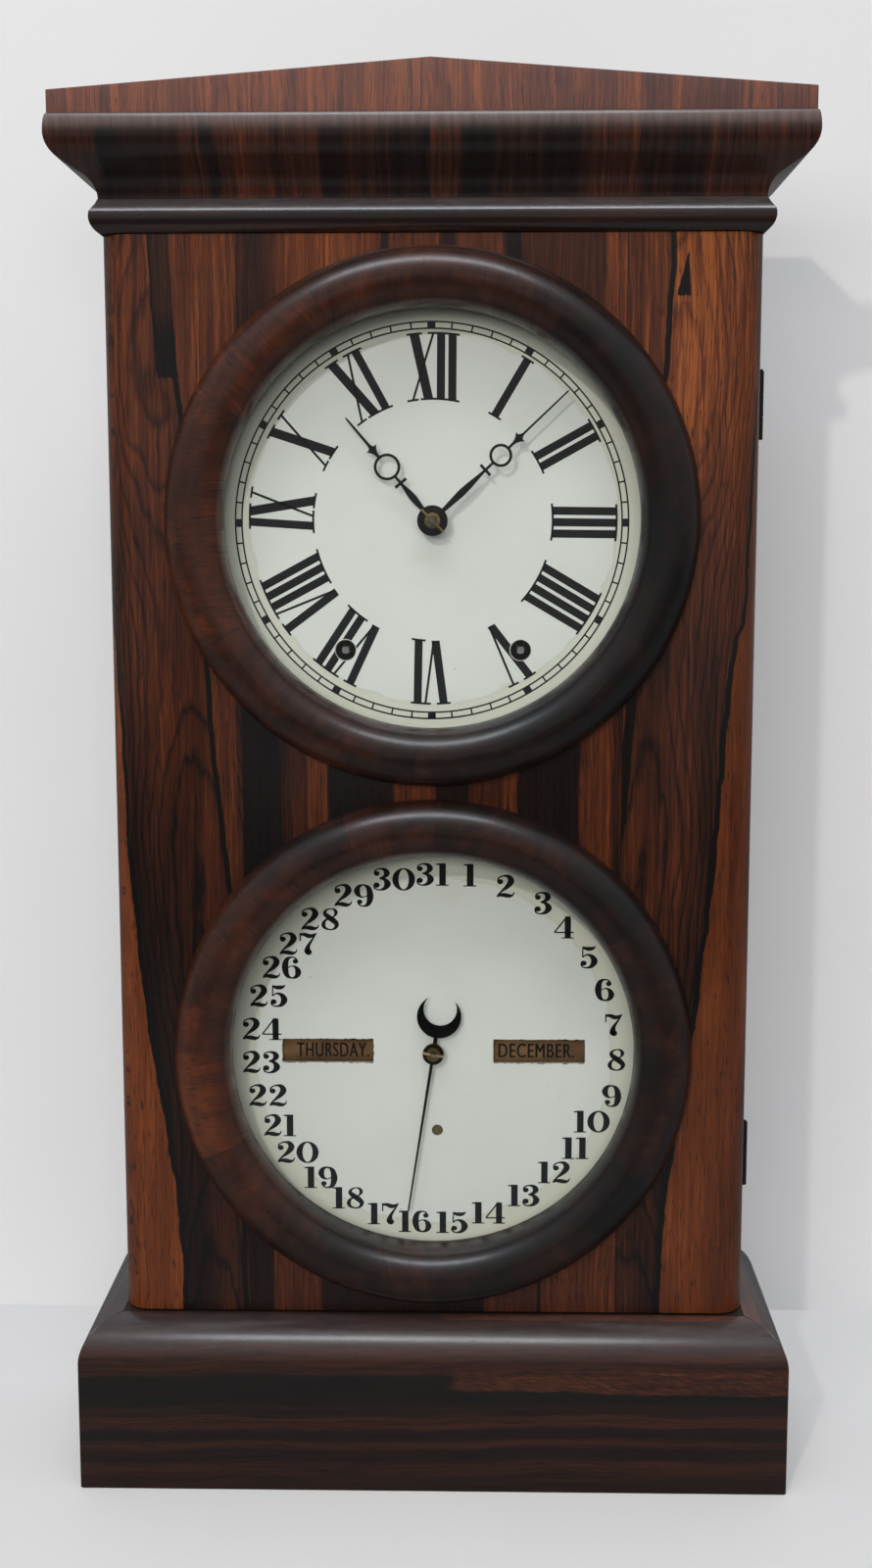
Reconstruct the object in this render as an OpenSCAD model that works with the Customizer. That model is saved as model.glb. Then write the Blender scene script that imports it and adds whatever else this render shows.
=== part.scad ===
// Calendar clock: a shelf clock with two round sight rings in one tall door.
// The upper dial tells the time, and the lower one the date, the day and the month.
// Millimetres. X is the width, Y runs back from the viewer and Z is up.
// The origin lies on the floor, in the middle of the overall width and depth.

/* [Case] */
// Width of the case and of the door
body_w = 316.7; // [316:1:400]
// Depth from the front of the door to the back board
case_d = 101.6; // [101.6:1:140]
// Thickness of the side, top and bottom boards
board_t = 12; // [8:0.5:14]
// Thickness of the back board
back_t = 8; // [4:0.5:8]
// Height of the base moulding
base_h = 86.2; // [70:1:110]
// How far the base moulding stands out, and the radius of its quarter round
base_proj = 20.6; // [12:0.2:26]
// Height of the bead under the crown
bead_h = 15.6; // [12:0.2:18]
// How far the bead stands out
bead_proj = 4.1; // [3:0.1:6]
// Height of the crown moulding
crown_h = 35.5; // [35.5:0.5:44]
// How far the crown moulding stands out
crown_proj = 21; // [18:0.5:26]
// Radius of the crown's hollow
cove_r = 13; // [9:0.5:15]
// Radius of the crown's belly
belly_r = 13; // [9:0.5:15]
// Height of the gable board at its middle
gable_h = 24; // [18:1:40]
// Height of the gable board at its ends
gable_end_h = 10.5; // [6:0.5:16]
// Thickness of the gable board
gable_t = 16; // [8:1:18]
// Step from the crown's top edge in to the gable board
gable_inset = 1.7; // [0.5:0.1:4]

/* [Door] */
// Height of the door
door_h = 535.8; // [530:1:680]
// Thickness of the door
door_t = 22; // [21:0.5:24]
// Radius of the door's upright front edges
door_edge_r = 13; // [8:0.5:16]
// Gap between the door and the base
door_gap_low = 1; // [0.5:0.1:3]
// Gap between the door and the bead
door_gap_high = 0.4; // [0.3:0.1:2]
// Radius of the sight openings inside the rings
sight_r = 101; // [95:0.5:104]
// Width of each sight ring
ring_w = 28.5; // [20:0.5:30]
// Height of each sight ring above the door
ring_h = 15; // [10:0.5:16]
// Depth of the lip that each ring sets into the door
lip_d = 6; // [4:0.2:7]
// Width of that lip
lip_w = 5; // [3:0.2:6]
// Thickness of the glasses
glass_t = 2; // [1.5:0.1:2]
// Distance from the door's top down to the middle of the upper ring
upper_drop = 135; // [130:1:160]
// Distance from the door's bottom up to the middle of the lower ring
lower_rise = 135.3; // [130:1:160]
// Height of one hinge
hinge_h = 33; // [24:1:45]
// Radius of a hinge knuckle
knuckle_r = 2.2; // [1.8:0.1:3]
// Radius of a hinge pin
hinge_pin_r = 1; // [0.8:0.1:1.3]
// Heights of the two hinges' middles above the door's bottom
hinge_heights = [77.6, 456.4];

/* [Dials] */
// Radius of both dial sheets
dial_r = 112; // [108:1:114]
// Thickness of the dial sheets
dial_t = 1; // [0.5:0.1:1]
// Thickness of the board behind the dials
dial_board_t = 8; // [5:0.5:8]
// Radius of the winding holes in the dial
winding_hole_r = 5; // [4:0.2:6]
// Distance from the middle out to each winding hole
winding_x = 43.7; // [42:0.1:46]
// Distance from the middle down to the winding holes
winding_drop = 64; // [62:0.1:65]
// Height of the day and month windows
window_h = 12; // [10:0.5:13]
// Distance from the middle to the near end of each window
window_in = 31; // [31:0.5:33]
// Distance from the middle to the far end of each window
window_out = 77.6; // [70:0.2:77.6]
// How far the calendar's centre sits below the middle of the lower ring
calendar_drop = 4.5; // [0:0.5:6]
// Length of the minute hand
minute_len = 91.7; // [80:0.5:96]
// Length of the hour hand
hour_len = 66; // [55:0.5:72]
// Length of the calendar hand
date_len = 86; // [76:0.5:90]
// Minute hand's angle, clockwise from the top
minute_at = 46.7; // [0:0.1:360]
// Hour hand's angle, clockwise from the top
hour_at = 319.5; // [0:0.1:360]
// Calendar hand's angle, clockwise from the top
date_at = 188.8; // [0:0.1:360]

/* [Movement] */
// Thickness of the movement's plates
plate_t = 1.5; // [1.2:0.1:2]
// Distance between the movement's plates
plate_space = 34.5; // [34.5:0.5:36]
// Distance from the dial board back to the front plate
post_len = 12; // [12:0.5:13]
// Half width of the plates
plate_half_w = 78; // [77:1:84]
// Depth of the plates below the centre arbor
plate_low = 104; // [103:1:112]
// Height of the plates above the centre arbor
plate_high = 80; // [78:1:90]
// Height of the pendulum's pivot above the centre arbor
pivot_rise = 63; // [62:0.5:64]
// Length of the pendulum from its pivot to the middle of the bob
pendulum_len = 248; // [220:1:250]
// Radius of the bob
bob_r = 23; // [18:0.5:25]
// Thickness of the bob
bob_t = 11; // [8:0.5:11]
// Running clearance round each shaft
run = 0.05; // [0.03:0.01:0.09]

/* [Calendar] */
// Height of one line of lettering on the rollers
line_h = 12; // [11:0.2:12]
// Radius of the calendar arbor
date_arbor_r = 2; // [1.6:0.1:2.4]
// Distance between the calendar's two plates
calendar_space = 41; // [41:0.5:42]
// Half width of the calendar's plates
calendar_half_w = 88; // [87:1:96]
// Half height of the calendar's plates
calendar_half_h = 66; // [64:1:72]

/* [Hidden] */
$fn = 96;

// Small gap between pieces that don't touch
gap = 0.3;
// Distance from the mean line to the door's front face
face_y = (crown_proj - case_d) / 2;
half_w = body_w / 2;
inner_w = half_w - board_t;
back_d = case_d - back_t;
door_z = base_h + door_gap_low;
door_top = door_z + door_h;
bead_z = door_top + door_gap_high;
crown_z = bead_z + bead_h;
top_z = crown_z + crown_h;
upper_z = door_top - upper_drop;
lower_z = door_z + lower_rise;
calendar_z = lower_z - calendar_drop;
hole_r = sight_r + lip_w;
case_front_d = door_t + 1;
shelf_t = 10;

// Depths behind the door's front face, from the dials back to the movement
dial_d = door_t + 0.5;
board_d = dial_d + dial_t;
board_back_d = board_d + dial_board_t;
front_plate_d = board_back_d + post_len;
inside_d = front_plate_d + plate_t;
back_plate_d = inside_d + plate_space;
behind_d = back_plate_d + plate_t;
pendulum_d = behind_d + 6;

// Functions and general shapes

// Point at radius r and angle a, in degrees
function polar(r, a) = [r * cos(a), r * sin(a)];

// Points along an arc
function arc(cx, cy, r, a0, a1, n) = [for (i = [0 : n]) [cx, cy] + polar(r, a0 + (a1 - a0) * i / n)];

// Extrudes an outline drawn as seen from the front, from depth d0 back to depth d1
module slab(d0, d1) translate([0, face_y + d1, 0]) rotate([90, 0, 0]) linear_extrude(d1 - d0) children();

// Round bar that lies front to back at x and z
module bar(x, z, r, d0, d1) slab(d0, d1) translate([x, z]) circle(r);

// Upright prism of a plan outline drawn in x and depth
module upright(z0, z1) translate([0, face_y, z0]) linear_extrude(z1 - z0) children();

// Round bar that stands upright at x and depth d
module stake(x, d, r, z0, z1) upright(z0, z1) translate([x, d]) circle(r);

// Box from x0 to x1, depth d0 to d1 and z0 to z1
module block(x0, x1, d0, d1, z0, z1) translate([x0, face_y + d0, z0]) cube([x1 - x0, d1 - d0, z1 - z0]);

// Round bar that lies across the clock at depth d and height z
module cross_bar(x0, x1, d, z, r) translate([x0, face_y + d, z]) rotate([0, 90, 0]) cylinder(r = r, h = x1 - x0);

// Flat bar of width w from point a to point b, with round ends a little wider than the bar
module strap(a, b, w) {
    v = b - a;
    translate(a) rotate(atan2(v[1], v[0])) translate([0, -w / 2]) square([norm(v), w]);
    translate(a) circle(w * 0.6);
    translate(b) circle(w * 0.6);
}

// Both of a mirrored pair
module pair() {
    children();
    mirror([1, 0, 0]) children();
}

// Front length of a moulding, mitred at both corners; its outline gives projection and height
module front_moulding(outline, proj, z0, z1) {
    intersection() {
        translate([-half_w - proj, face_y, 0]) rotate([90, 0, 90]) linear_extrude(body_w + 2 * proj)
            polygon([for (p = outline) [-p[0], p[1]]]);
        upright(z0, z1) polygon([[-half_w, 0], [half_w, 0], [half_w + proj, -proj], [-half_w - proj, -proj]]);
    }
}

// Right-hand length of a moulding, mitred at the front corner
module side_moulding(outline, proj, z0, z1) {
    intersection() {
        slab(-proj, case_d) polygon([for (p = outline) [half_w + p[0], p[1]]]);
        upright(z0, z1) polygon([[half_w, 0], [half_w + proj, -proj], [half_w + proj, case_d], [half_w, case_d]]);
    }
}

// Gears

wheel_thick = 0.86;
leaf_thick = 0.66;
// Outline of a toothed wheel of n teeth and module m, with one tooth at angle rot
function teeth(n, m, low, high, wide_low, wide_high, rot) = [
    for (i = [0 : n - 1], q = [[low, -wide_low], [high, -wide_high], [high, wide_high], [low, wide_low]])
        polar(n * m / 2 + q[0] * m, rot + 360 * i / n + q[1] * 90 / n)
];
function wheel_teeth(n, m, rot) = teeth(n, m, -1.35, 0.85, wheel_thick * 1.3, wheel_thick * 0.5, rot);
function leaf_teeth(n, m, rot) = teeth(n, m, -1.25, 0.45, leaf_thick * 0.95, leaf_thick * 0.7, rot);
// Angle of a tooth on gear b, so that it meshes with gear a in direction dir from a
function mesh_at(rot_a, n_a, n_b, dir) = dir + 180 - 180 / n_b + (dir - rot_a) * n_a / n_b;
// Distance between two meshed gears
function centres(n_a, n_b, m) = (n_a + n_b) * m / 2;

// Toothed wheel with a rim, spokes and a hub
module wheel(n, m, rot, hub, spokes = 5) {
    rim = n * m / 2 - 1.35 * m - 1.8;
    difference() {
        polygon(wheel_teeth(n, m, rot));
        circle(rim);
    }
    for (i = [0 : spokes - 1]) rotate(rot + 360 * i / spokes) translate([0, -1.1]) square([rim + 0.5, 2.2]);
    circle(hub);
}

// Wheel with slanted ratchet teeth, steep on the clockwise side
module ratchet(n, tip, root) {
    polygon([for (i = [0 : n - 1], q = [[root, 0], [tip, 0.12]]) polar(q[0], (i + q[1]) * 360 / n)]);
}

// Flat spiral of strip, from radius r0 out to r1, ending at angle a1
module spiral(r0, r1, turns, strip, a1) {
    steps = turns * 20;
    line = [for (i = [0 : steps]) [r0 + (r1 - r0) * i / steps, a1 - 18 * (steps - i)]];
    polygon(concat(
        [for (p = line) polar(p[0] + strip / 2, p[1])],
        [for (i = [steps : -1 : 0]) polar(line[i][0] - strip / 2, line[i][1])]
    ));
}

// Case

base_outline = concat([[0, 0], [base_proj, 0]], arc(0, base_h - base_proj, base_proj, 0, 90, 30));
bead_peak = 7.4;
bead_r = (bead_proj * bead_proj + bead_peak * bead_peak) / (2 * bead_proj);
bead_swing = asin(bead_peak / bead_r);
bead_outline = concat(
    arc(bead_proj - bead_r, bead_z + bead_peak, bead_r, -bead_swing, 18, 16),
    [[bead_proj * 0.3, bead_z + bead_h - 2.2], [bead_proj * 0.05, bead_z + bead_h], [0, bead_z + bead_h]]
);
// The crown is a hollow and a belly that meet a slope
slope = 30;
turn = 90 - slope;
belly_z = crown_z + cove_r * sin(turn) + belly_r * sin(turn)
    + (crown_proj - (cove_r + belly_r) * (1 - cos(turn))) * tan(slope);
// Points on the quarter ellipse from the belly up to the gable board's foot
crown_top = [for (t = [9 : 9 : 90]) [crown_proj - gable_inset * (1 - cos(t)), belly_z + (top_z - belly_z) * sin(t)]];
crown_outline = concat(
    arc(cove_r, crown_z, cove_r, 180, 180 - turn, 14),
    arc(crown_proj - belly_r, belly_z, belly_r, -turn, 0, 14),
    crown_top,
    [[0, top_z]]
);

module base_front() {
    color("#3a1712") front_moulding(base_outline, base_proj, 0, base_h);
}

module base_sides() {
    color("#3a1712") pair() side_moulding(base_outline, base_proj, 0, base_h);
}

// Rail under the door and rail above it, which carry the front mouldings
module front_rails() {
    color("#5a3426") {
        block(-half_w, half_w, 0, case_front_d, 0, base_h);
        block(-half_w, half_w, 0, case_front_d, bead_z, top_z);
    }
}

module case_sides() {
    color("#6b2f1c") difference() {
        pair() block(inner_w, half_w, case_front_d, case_d, 0, top_z);
        knuckle_notches();
        bar(stud_x, stud_z, stud_r + gap, 0, case_front_d + stud_len + 1);
    }
}

module case_bottom() {
    color("#7a4a30") block(-inner_w, inner_w, case_front_d, back_d, base_h - 6.2 - shelf_t, base_h - 6.2);
}

module case_top() {
    color("#7a4a30") block(-inner_w, inner_w, case_front_d, back_d, top_z - shelf_t, top_z);
}

module back_board() {
    color("#7a4a30") block(-inner_w, inner_w, back_d, case_d, 0, top_z);
}

module bead_moulding() {
    color("#33130f") {
        front_moulding(bead_outline, bead_proj, bead_z, crown_z);
        pair() side_moulding(bead_outline, bead_proj, bead_z, crown_z);
    }
}

module crown_front() {
    color("#54201a") front_moulding(crown_outline, crown_proj, crown_z, top_z);
}

module crown_sides() {
    color("#54201a") pair() side_moulding(crown_outline, crown_proj, crown_z, top_z);
}

gable_half = half_w + crown_proj - gable_inset;
gable_d = gable_inset - crown_proj;
module gable_board() {
    color("#5c251c") slab(gable_d, gable_d + gable_t) polygon([
        [-gable_half, top_z], [gable_half, top_z], [gable_half, top_z + gable_end_h],
        [0, top_z + gable_h], [-gable_half, top_z + gable_end_h]
    ]);
}

// Three glue blocks that hold the gable board up from behind
gable_block = 9;
module gable_blocks() {
    color("#7a4a30") for (x = [-0.75, 0, 0.75]) translate([x * half_w - 15, face_y + gable_d + gable_t, top_z])
        rotate([90, 0, 90]) linear_extrude(30) polygon([[0, 0], [gable_block * 2, 0], [0, gable_block]]);
}

cleat_w = 12;
module dial_cleats() {
    color("#7a4a30") pair() block(inner_w - cleat_w, inner_w, board_back_d, board_back_d + cleat_w,
        base_h + 8, top_z - 20);
}

// Dials and their board

day_r = 7 * line_h / (2 * PI);
month_r = 12 * line_h / (2 * PI);
roller_in = window_in - 2;
roller_out = window_out + 1.4;
roller_d = board_d + 0.8;
day_d = roller_d + day_r;
month_d = roller_d + month_r;
// Half height of a roller at depth d behind the door's face
function roller_half(r, axis_d, d) = d > axis_d ? r : sqrt(max(1, r * r - (axis_d - d) * (axis_d - d)));
day_cut = roller_half(day_r, day_d, board_back_d) + 1.5;
month_cut = roller_half(month_r, month_d, board_back_d) + 1.5;
set_x = 2;
set_drop = 42;
set_r = 2.5;

module dial_board() {
    color("#8a5a3a") slab(board_d, board_back_d) difference() {
        translate([-inner_w + 0.5, base_h + 2]) square([2 * inner_w - 1, top_z - shelf_t - 4 - base_h - 2]);
        translate([0, upper_z]) circle(9);
        for (x = [-winding_x, winding_x]) translate([x, upper_z - winding_drop]) circle(winding_hole_r + 2);
        translate([0, calendar_z]) circle(7);
        translate([set_x, calendar_z - set_drop]) circle(4);
        translate([-roller_out - 2, calendar_z - day_cut]) square([roller_out - roller_in + 4, 2 * day_cut]);
        translate([roller_in - 2, calendar_z - month_cut]) square([roller_out - roller_in + 4, 2 * month_cut]);
    }
}

module time_dial() {
    color("#e4e7df") slab(dial_d, board_d) translate([0, upper_z]) difference() {
        circle(dial_r);
        circle(4.5);
        for (x = [-winding_x, winding_x]) translate([x, -winding_drop]) circle(winding_hole_r);
    }
}

module calendar_dial() {
    color("#e4e7df") slab(dial_d, board_d) translate([0, calendar_z]) difference() {
        circle(dial_r - calendar_drop / 2);
        circle(3);
        translate([set_x, -set_drop]) circle(set_r + 0.4);
        for (x = [-window_out, window_in]) translate([x, -window_h / 2]) square([window_out - window_in, window_h]);
    }
}

// Door

hinge_x = half_w + 1.15;
leaf_w = 11;
leaf_t = 0.45;
module knuckle_notches() {
    for (h = hinge_heights)
        stake(hinge_x, door_t, knuckle_r + gap, door_z + h - hinge_h / 2 - 1.2, door_z + h + hinge_h / 2 + 1.2);
}

module door_panel() {
    color("#7a3520") difference() {
        upright(door_z, door_top) polygon(concat(
            [[-half_w, door_t]],
            arc(door_edge_r - half_w, door_edge_r, door_edge_r, 180, 270, 20),
            arc(half_w - door_edge_r, door_edge_r, door_edge_r, 270, 360, 20),
            [[half_w, door_t]]
        ));
        bar(0, upper_z, hole_r, -1, door_t + 1);
        bar(0, lower_z, hole_r, -1, door_t + 1);
        knuckle_notches();
    }
}

// Half-round ring whose lip sets into the door's opening
module sight_ring(z) {
    color("#2c0f0c") translate([0, face_y, z]) rotate([90, 0, 0]) rotate_extrude($fn = 180) {
        intersection() {
            translate([sight_r + ring_w / 2, ring_h - ring_w / 2]) circle(ring_w / 2);
            translate([sight_r - 5, 0]) square([ring_w + 10, ring_h + 1]);
        }
        translate([sight_r + gap, -lip_d]) square([lip_w - gap - 0.1, lip_d + 1]);
    }
}

module time_ring() {
    sight_ring(upper_z);
}

module calendar_ring() {
    sight_ring(lower_z);
}

module sight_glasses() {
    color("#c8d8d4", 0.3) for (z = [upper_z, lower_z]) bar(0, z, hole_r - 0.4, lip_d, lip_d + glass_t);
}

// Putty rings that hold the glasses against the lips
module glass_retainers() {
    color("#2a1a14") for (z = [upper_z, lower_z]) slab(lip_d + glass_t, lip_d + glass_t + 3) translate([0, z])
        difference() {
            circle(hole_r - 0.1);
            circle(sight_r + 1.5);
        }
}

// One third of a hinge knuckle, and the leaf that it carries; part is 0, 1 or 2 from below
module knuckle(z, part) {
    third = hinge_h / 3;
    low = z - hinge_h / 2 + part * third + (part == 0 ? 0 : 0.1);
    stake(hinge_x, door_t, knuckle_r, low, low + third - (part == 1 ? 0.2 : 0.1));
}

module case_hinge(z) {
    difference() {
        union() {
            block(hinge_x - leaf_w, hinge_x - knuckle_r - gap, case_front_d - leaf_t, case_front_d,
                z - hinge_h / 2, z + hinge_h / 2);
            for (part = [0, 2]) {
                knuckle(z, part);
                low = z - hinge_h / 2 + (part == 0 ? 0 : 2 * hinge_h / 3 + 0.1);
                block(hinge_x - knuckle_r - 1, hinge_x, case_front_d - leaf_t, case_front_d,
                    low, low + hinge_h / 3 - 0.1);
            }
        }
        stake(hinge_x, door_t, hinge_pin_r + run, z - hinge_h, z + hinge_h);
    }
    stake(hinge_x, door_t, hinge_pin_r, z - hinge_h / 2, z + hinge_h / 2 - 0.1);
    stake(hinge_x, door_t, knuckle_r * 0.8, z + hinge_h / 2, z + hinge_h / 2 + 0.8);
}

module hinge_case_leaves() {
    color("#26221f") for (h = hinge_heights) case_hinge(door_z + h);
}

module door_hinge(z) {
    low = z - hinge_h / 6 + 0.1;
    high = z + hinge_h / 6 - 0.1;
    difference() {
        union() {
            knuckle(z, 1);
            block(hinge_x - knuckle_r - 1, hinge_x, door_t + 0.02, door_t + leaf_t, low, high);
            block(hinge_x - leaf_w, hinge_x - knuckle_r - gap, door_t + 0.02, door_t + leaf_t,
                z - hinge_h / 2, z + hinge_h / 2);
        }
        stake(hinge_x, door_t, hinge_pin_r + run, z - hinge_h, z + hinge_h);
    }
}

module hinge_door_leaves() {
    color("#26221f") for (h = hinge_heights) door_hinge(door_z + h);
}

// Brass plate behind the door's free edge, with a stud that snaps into the case side
stud_x = board_t / 2 - half_w;
stud_z = door_z + door_h / 2;
stud_r = 2;
stud_len = 6;
module door_catch() {
    color("#a8863c") {
        slab(door_t + 0.02, door_t + leaf_t) translate([-half_w + 1, stud_z - 10]) square([board_t + 6, 20]);
        bar(stud_x, stud_z, stud_r, door_t + 0.1, case_front_d + stud_len);
    }
}

// Movement: where its arbors stand, from the centre arbor

great_n = 78;
great_m = 0.9;
second_n = 60;
second_m = 0.85;
centre_leaves = 30;
great_leaves = 12;
centre_n = 72;
centre_m = 0.6;
third_n = 80;
third_m = 0.5;
leaves = 8;
great_at = [winding_x, -winding_drop];
great_to_second = centres(great_n, great_leaves, great_m);
second_to_centre = centres(second_n, centre_leaves, second_m);
// The second arbor stands where two circles cross, on the outer side
great_dist = norm(great_at);
along = (pow(second_to_centre, 2) - pow(great_to_second, 2) + pow(great_dist, 2)) / (2 * great_dist);
aside = sqrt(pow(second_to_centre, 2) - along * along);
second_at = (great_at * along + [winding_drop, winding_x] * aside) / great_dist;
third_dir = 120;
third_at = polar(centres(centre_n, leaves, centre_m), third_dir);
escape_dist = centres(third_n, leaves, third_m);
escape_at = [0, third_at[1] + sqrt(pow(escape_dist, 2) - pow(third_at[0], 2))];
verge_at = [0, pivot_rise];

// Direction from point a to point b
function dir(a, b) = atan2(b[1] - a[1], b[0] - a[0]);

// Turn of each wheel, so that all teeth are in mesh
centre_pinion_rot = 0;
second_rot = mesh_at(centre_pinion_rot, centre_leaves, second_n, dir([0, 0], second_at));
great_rot = mesh_at(second_rot, great_leaves, great_n, dir(second_at, great_at));
third_leaf_rot = mesh_at(0, centre_n, leaves, third_dir);
escape_leaf_rot = mesh_at(third_leaf_rot, third_n, leaves, dir(third_at, escape_at));

// Strike side
strike_leaves = 8;
pin_n = 64;
pin_m = 0.6;
locking_n = 60;
locking_m = 0.5;
warning_n = 60;
warning_m = 0.45;
strike_at = [-winding_x, -winding_drop];
pin_at = strike_at + polar(centres(great_n, strike_leaves, great_m), 75);
locking_at = pin_at + polar(centres(pin_n, leaves, pin_m), 110);
warning_at = locking_at + polar(centres(locking_n, leaves, locking_m), 100);
fly_at = warning_at + polar(centres(warning_n, leaves, warning_m), 70);
hammer_at = [-66, -30];
pin_rot = mesh_at(0, great_n, strike_leaves, 75);
locking_rot = mesh_at(pin_rot, pin_n, leaves, 110);
warning_rot = mesh_at(locking_rot, locking_n, leaves, 100);
fly_rot = mesh_at(warning_rot, warning_n, leaves, 70);

// Motion work
cannon_leaves = 12;
minute_n = 36;
motion_m = 0.6;
minute_leaves = 10;
hour_n = 40;
minute_at_x = centres(cannon_leaves, minute_n, motion_m);
hour_m = 2 * minute_at_x / (minute_leaves + hour_n);
minute_rot = mesh_at(0, cannon_leaves, minute_n, 0);
hour_rot = mesh_at(minute_rot, minute_leaves, hour_n, 180);

// Depths of the wheels
hour_d = board_back_d + 2.7;
cannon_d = hour_d + 3.2;
centre_wheel_d = inside_d + 4;
third_wheel_d = inside_d + 11;
second_wheel_d = inside_d + 20;
click_d = inside_d + 23;
great_d = inside_d + 25;

arbor_r = 1.5;
pivot_r = 0.8;
great_arbor_r = 3;
centre_r = 2.4;
pillar_r = 3.5;
pillar_at = [[plate_half_w - 6, -plate_low + 6], [plate_half_w - 6, plate_high - 6]];

// Places a shape of the movement at p, measured from the centre arbor
module at(p) translate([p[0], upper_z + p[1]]) children();

// Arbor of radius r between the plates, with a pivot in each
module arbor(p, r = arbor_r) {
    slab(inside_d + gap, back_plate_d - gap) at(p) circle(r);
    slab(front_plate_d, inside_d + gap) at(p) circle(pivot_r);
    slab(back_plate_d - gap, behind_d) at(p) circle(pivot_r);
}

module plate_outline() {
    translate([-plate_half_w, upper_z - plate_low]) square([2 * plate_half_w, plate_low + plate_high]);
}

module pivot_holes() {
    for (p = [second_at, third_at, escape_at, pin_at, locking_at, warning_at, fly_at, hammer_at])
        at(p) circle(pivot_r + run);
    for (p = [great_at, strike_at]) at(p) circle(great_arbor_r + run);
    pair() for (p = pillar_at) at(p) circle(2 + run);
}

guide_x = -20;
guide_z = upper_z - plate_low + 16;
rod_r = 1;
rod_d = board_back_d + 5;

// The two plates, with the stud for the minute wheel and a guide for the link rod
module movement_plates() {
    color("#b08d45") {
        slab(front_plate_d, inside_d) difference() {
            plate_outline();
            pivot_holes();
            at([0, 0]) circle(centre_r + run);
            at(verge_at) circle(pivot_r + run);
        }
        bar(minute_at_x, upper_z, 1.2, hour_d - 1.2, front_plate_d);
        difference() {
            block(guide_x - 3, guide_x + 3, rod_d - 3, front_plate_d, guide_z, guide_z + 4);
            stake(guide_x, rod_d, rod_r + run, guide_z - 1, guide_z + 5);
        }
        slab(back_plate_d, behind_d) difference() {
            plate_outline();
            pivot_holes();
            at([0, 0]) circle(1.2 + run);
            at(verge_at) circle(arbor_r + run);
        }
    }
}
// Pillars between the plates, posts to the dial board and nuts behind
module movement_pillars() {
    color("#b08d45") pair() for (p = pillar_at) {
        slab(board_back_d, front_plate_d) at(p) circle(pillar_r);
        slab(front_plate_d, behind_d) at(p) circle(2);
        slab(inside_d, back_plate_d) at(p) circle(pillar_r);
        slab(behind_d, behind_d + 2) at(p) circle(pillar_r, $fn = 6);
    }
}

spring_r = 31;
// Open springs: each ends at a lower pillar, and its inner end lies round the winding arbor
module mainspring_outline() {
    to_pillar = dir(great_at, pillar_at[0]);
    reach = norm(pillar_at[0] - great_at) - pillar_r - gap;
    spiral(great_arbor_r + 1, spring_r, 7, 0.5, to_pillar);
    rotate(to_pillar) translate([spring_r - 0.15, -0.3]) square([reach - spring_r + 0.15, 0.6]);
}

module mainsprings() {
    color("#4c5560") pair() slab(inside_d + 1, inside_d + 15.5) at(great_at) mainspring_outline();
}

// Hands' depths, from the arbor's tip back
tip_d = lip_d + glass_t + 0.9;
pin_d = tip_d + 1.3;
washer_d = tip_d + 2.1;
boss_rise = 0.4;
minute_d = washer_d + 0.5 + boss_rise;
minute_t = 0.8;
hour_hand_d = minute_d + 3.8;

module centre_arbor() {
    color("#8f8f8a") difference() {
        union() {
            bar(0, upper_z, 1.5, tip_d, minute_d + minute_t);
            bar(0, upper_z, centre_r, minute_d + minute_t, back_plate_d - gap);
            bar(0, upper_z, 1.2, back_plate_d - gap, behind_d);
            slab(cannon_d, cannon_d + 2.2) at([0, 0]) polygon(leaf_teeth(cannon_leaves, motion_m, 0));
            slab(second_wheel_d - 0.5, second_wheel_d + 2) at([0, 0])
                polygon(leaf_teeth(centre_leaves, second_m, centre_pinion_rot));
            slab(centre_wheel_d, centre_wheel_d + 1.2) at([0, 0]) wheel(centre_n, centre_m, 0, 5);
        }
        hand_cross(0.6 + run, upper_z, pin_d, 8);
    }
}

// Round pin across a hand's arbor, at angle a clockwise from the top
module hand_cross(r, z, d, half, a = 135) {
    translate([0, face_y + d, z]) rotate([0, a, 0]) translate([0, 0, -half]) cylinder(r = r, h = 2 * half);
}

module hand_pin() {
    color("#b8923e") {
        slab(washer_d, minute_d - boss_rise) at([0, 0]) difference() {
            circle(3.9);
            circle(1.5 + run);
        }
        hand_cross(0.6, upper_z, pin_d, 7.8);
    }
}

// Long hand drawn upwards: a leaf, a cross bar, a ring, two barbs and a needle
module pierced_hand(len, ring, ring_r, bar_r, barb_r, boss_r, bore_r, needle) {
    leaf = bar_r - boss_r;
    side = [
        [1, 0], [1.05, boss_r], [1.8, boss_r + leaf * 0.42], [1.6, boss_r + leaf * 0.6], [0.75, boss_r + leaf * 0.92],
        [0.65, bar_r], [0.65, ring_r - ring + 0.5]
    ];
    barb = [
        [0.65, ring_r + ring - 0.5], [0.65, barb_r - 4.6], [1, barb_r - 2.6], [1.9, barb_r - 0.9], [3.2, barb_r + 0.6],
        [1.8, barb_r + 0.5], [1, barb_r + 1.3], [needle, barb_r + 2.8], [needle * 0.7, len - 1.5], [0, len]
    ];
    difference() {
        union() {
            circle(boss_r);
            polygon(two_sided(side));
            polygon(two_sided(barb));
            translate([-3.5, bar_r - 0.7]) square([7, 1.4]);
            translate([0, ring_r]) circle(ring);
        }
        translate([0, ring_r]) circle(ring - 1.35);
        circle(bore_r);
    }
}

// Outline whose right-hand side is given, with its mirror image on the left
function two_sided(side) = concat(side, [for (i = [len(side) - 1 : -1 : 0]) [-side[i][0], side[i][1]]]);

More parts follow.
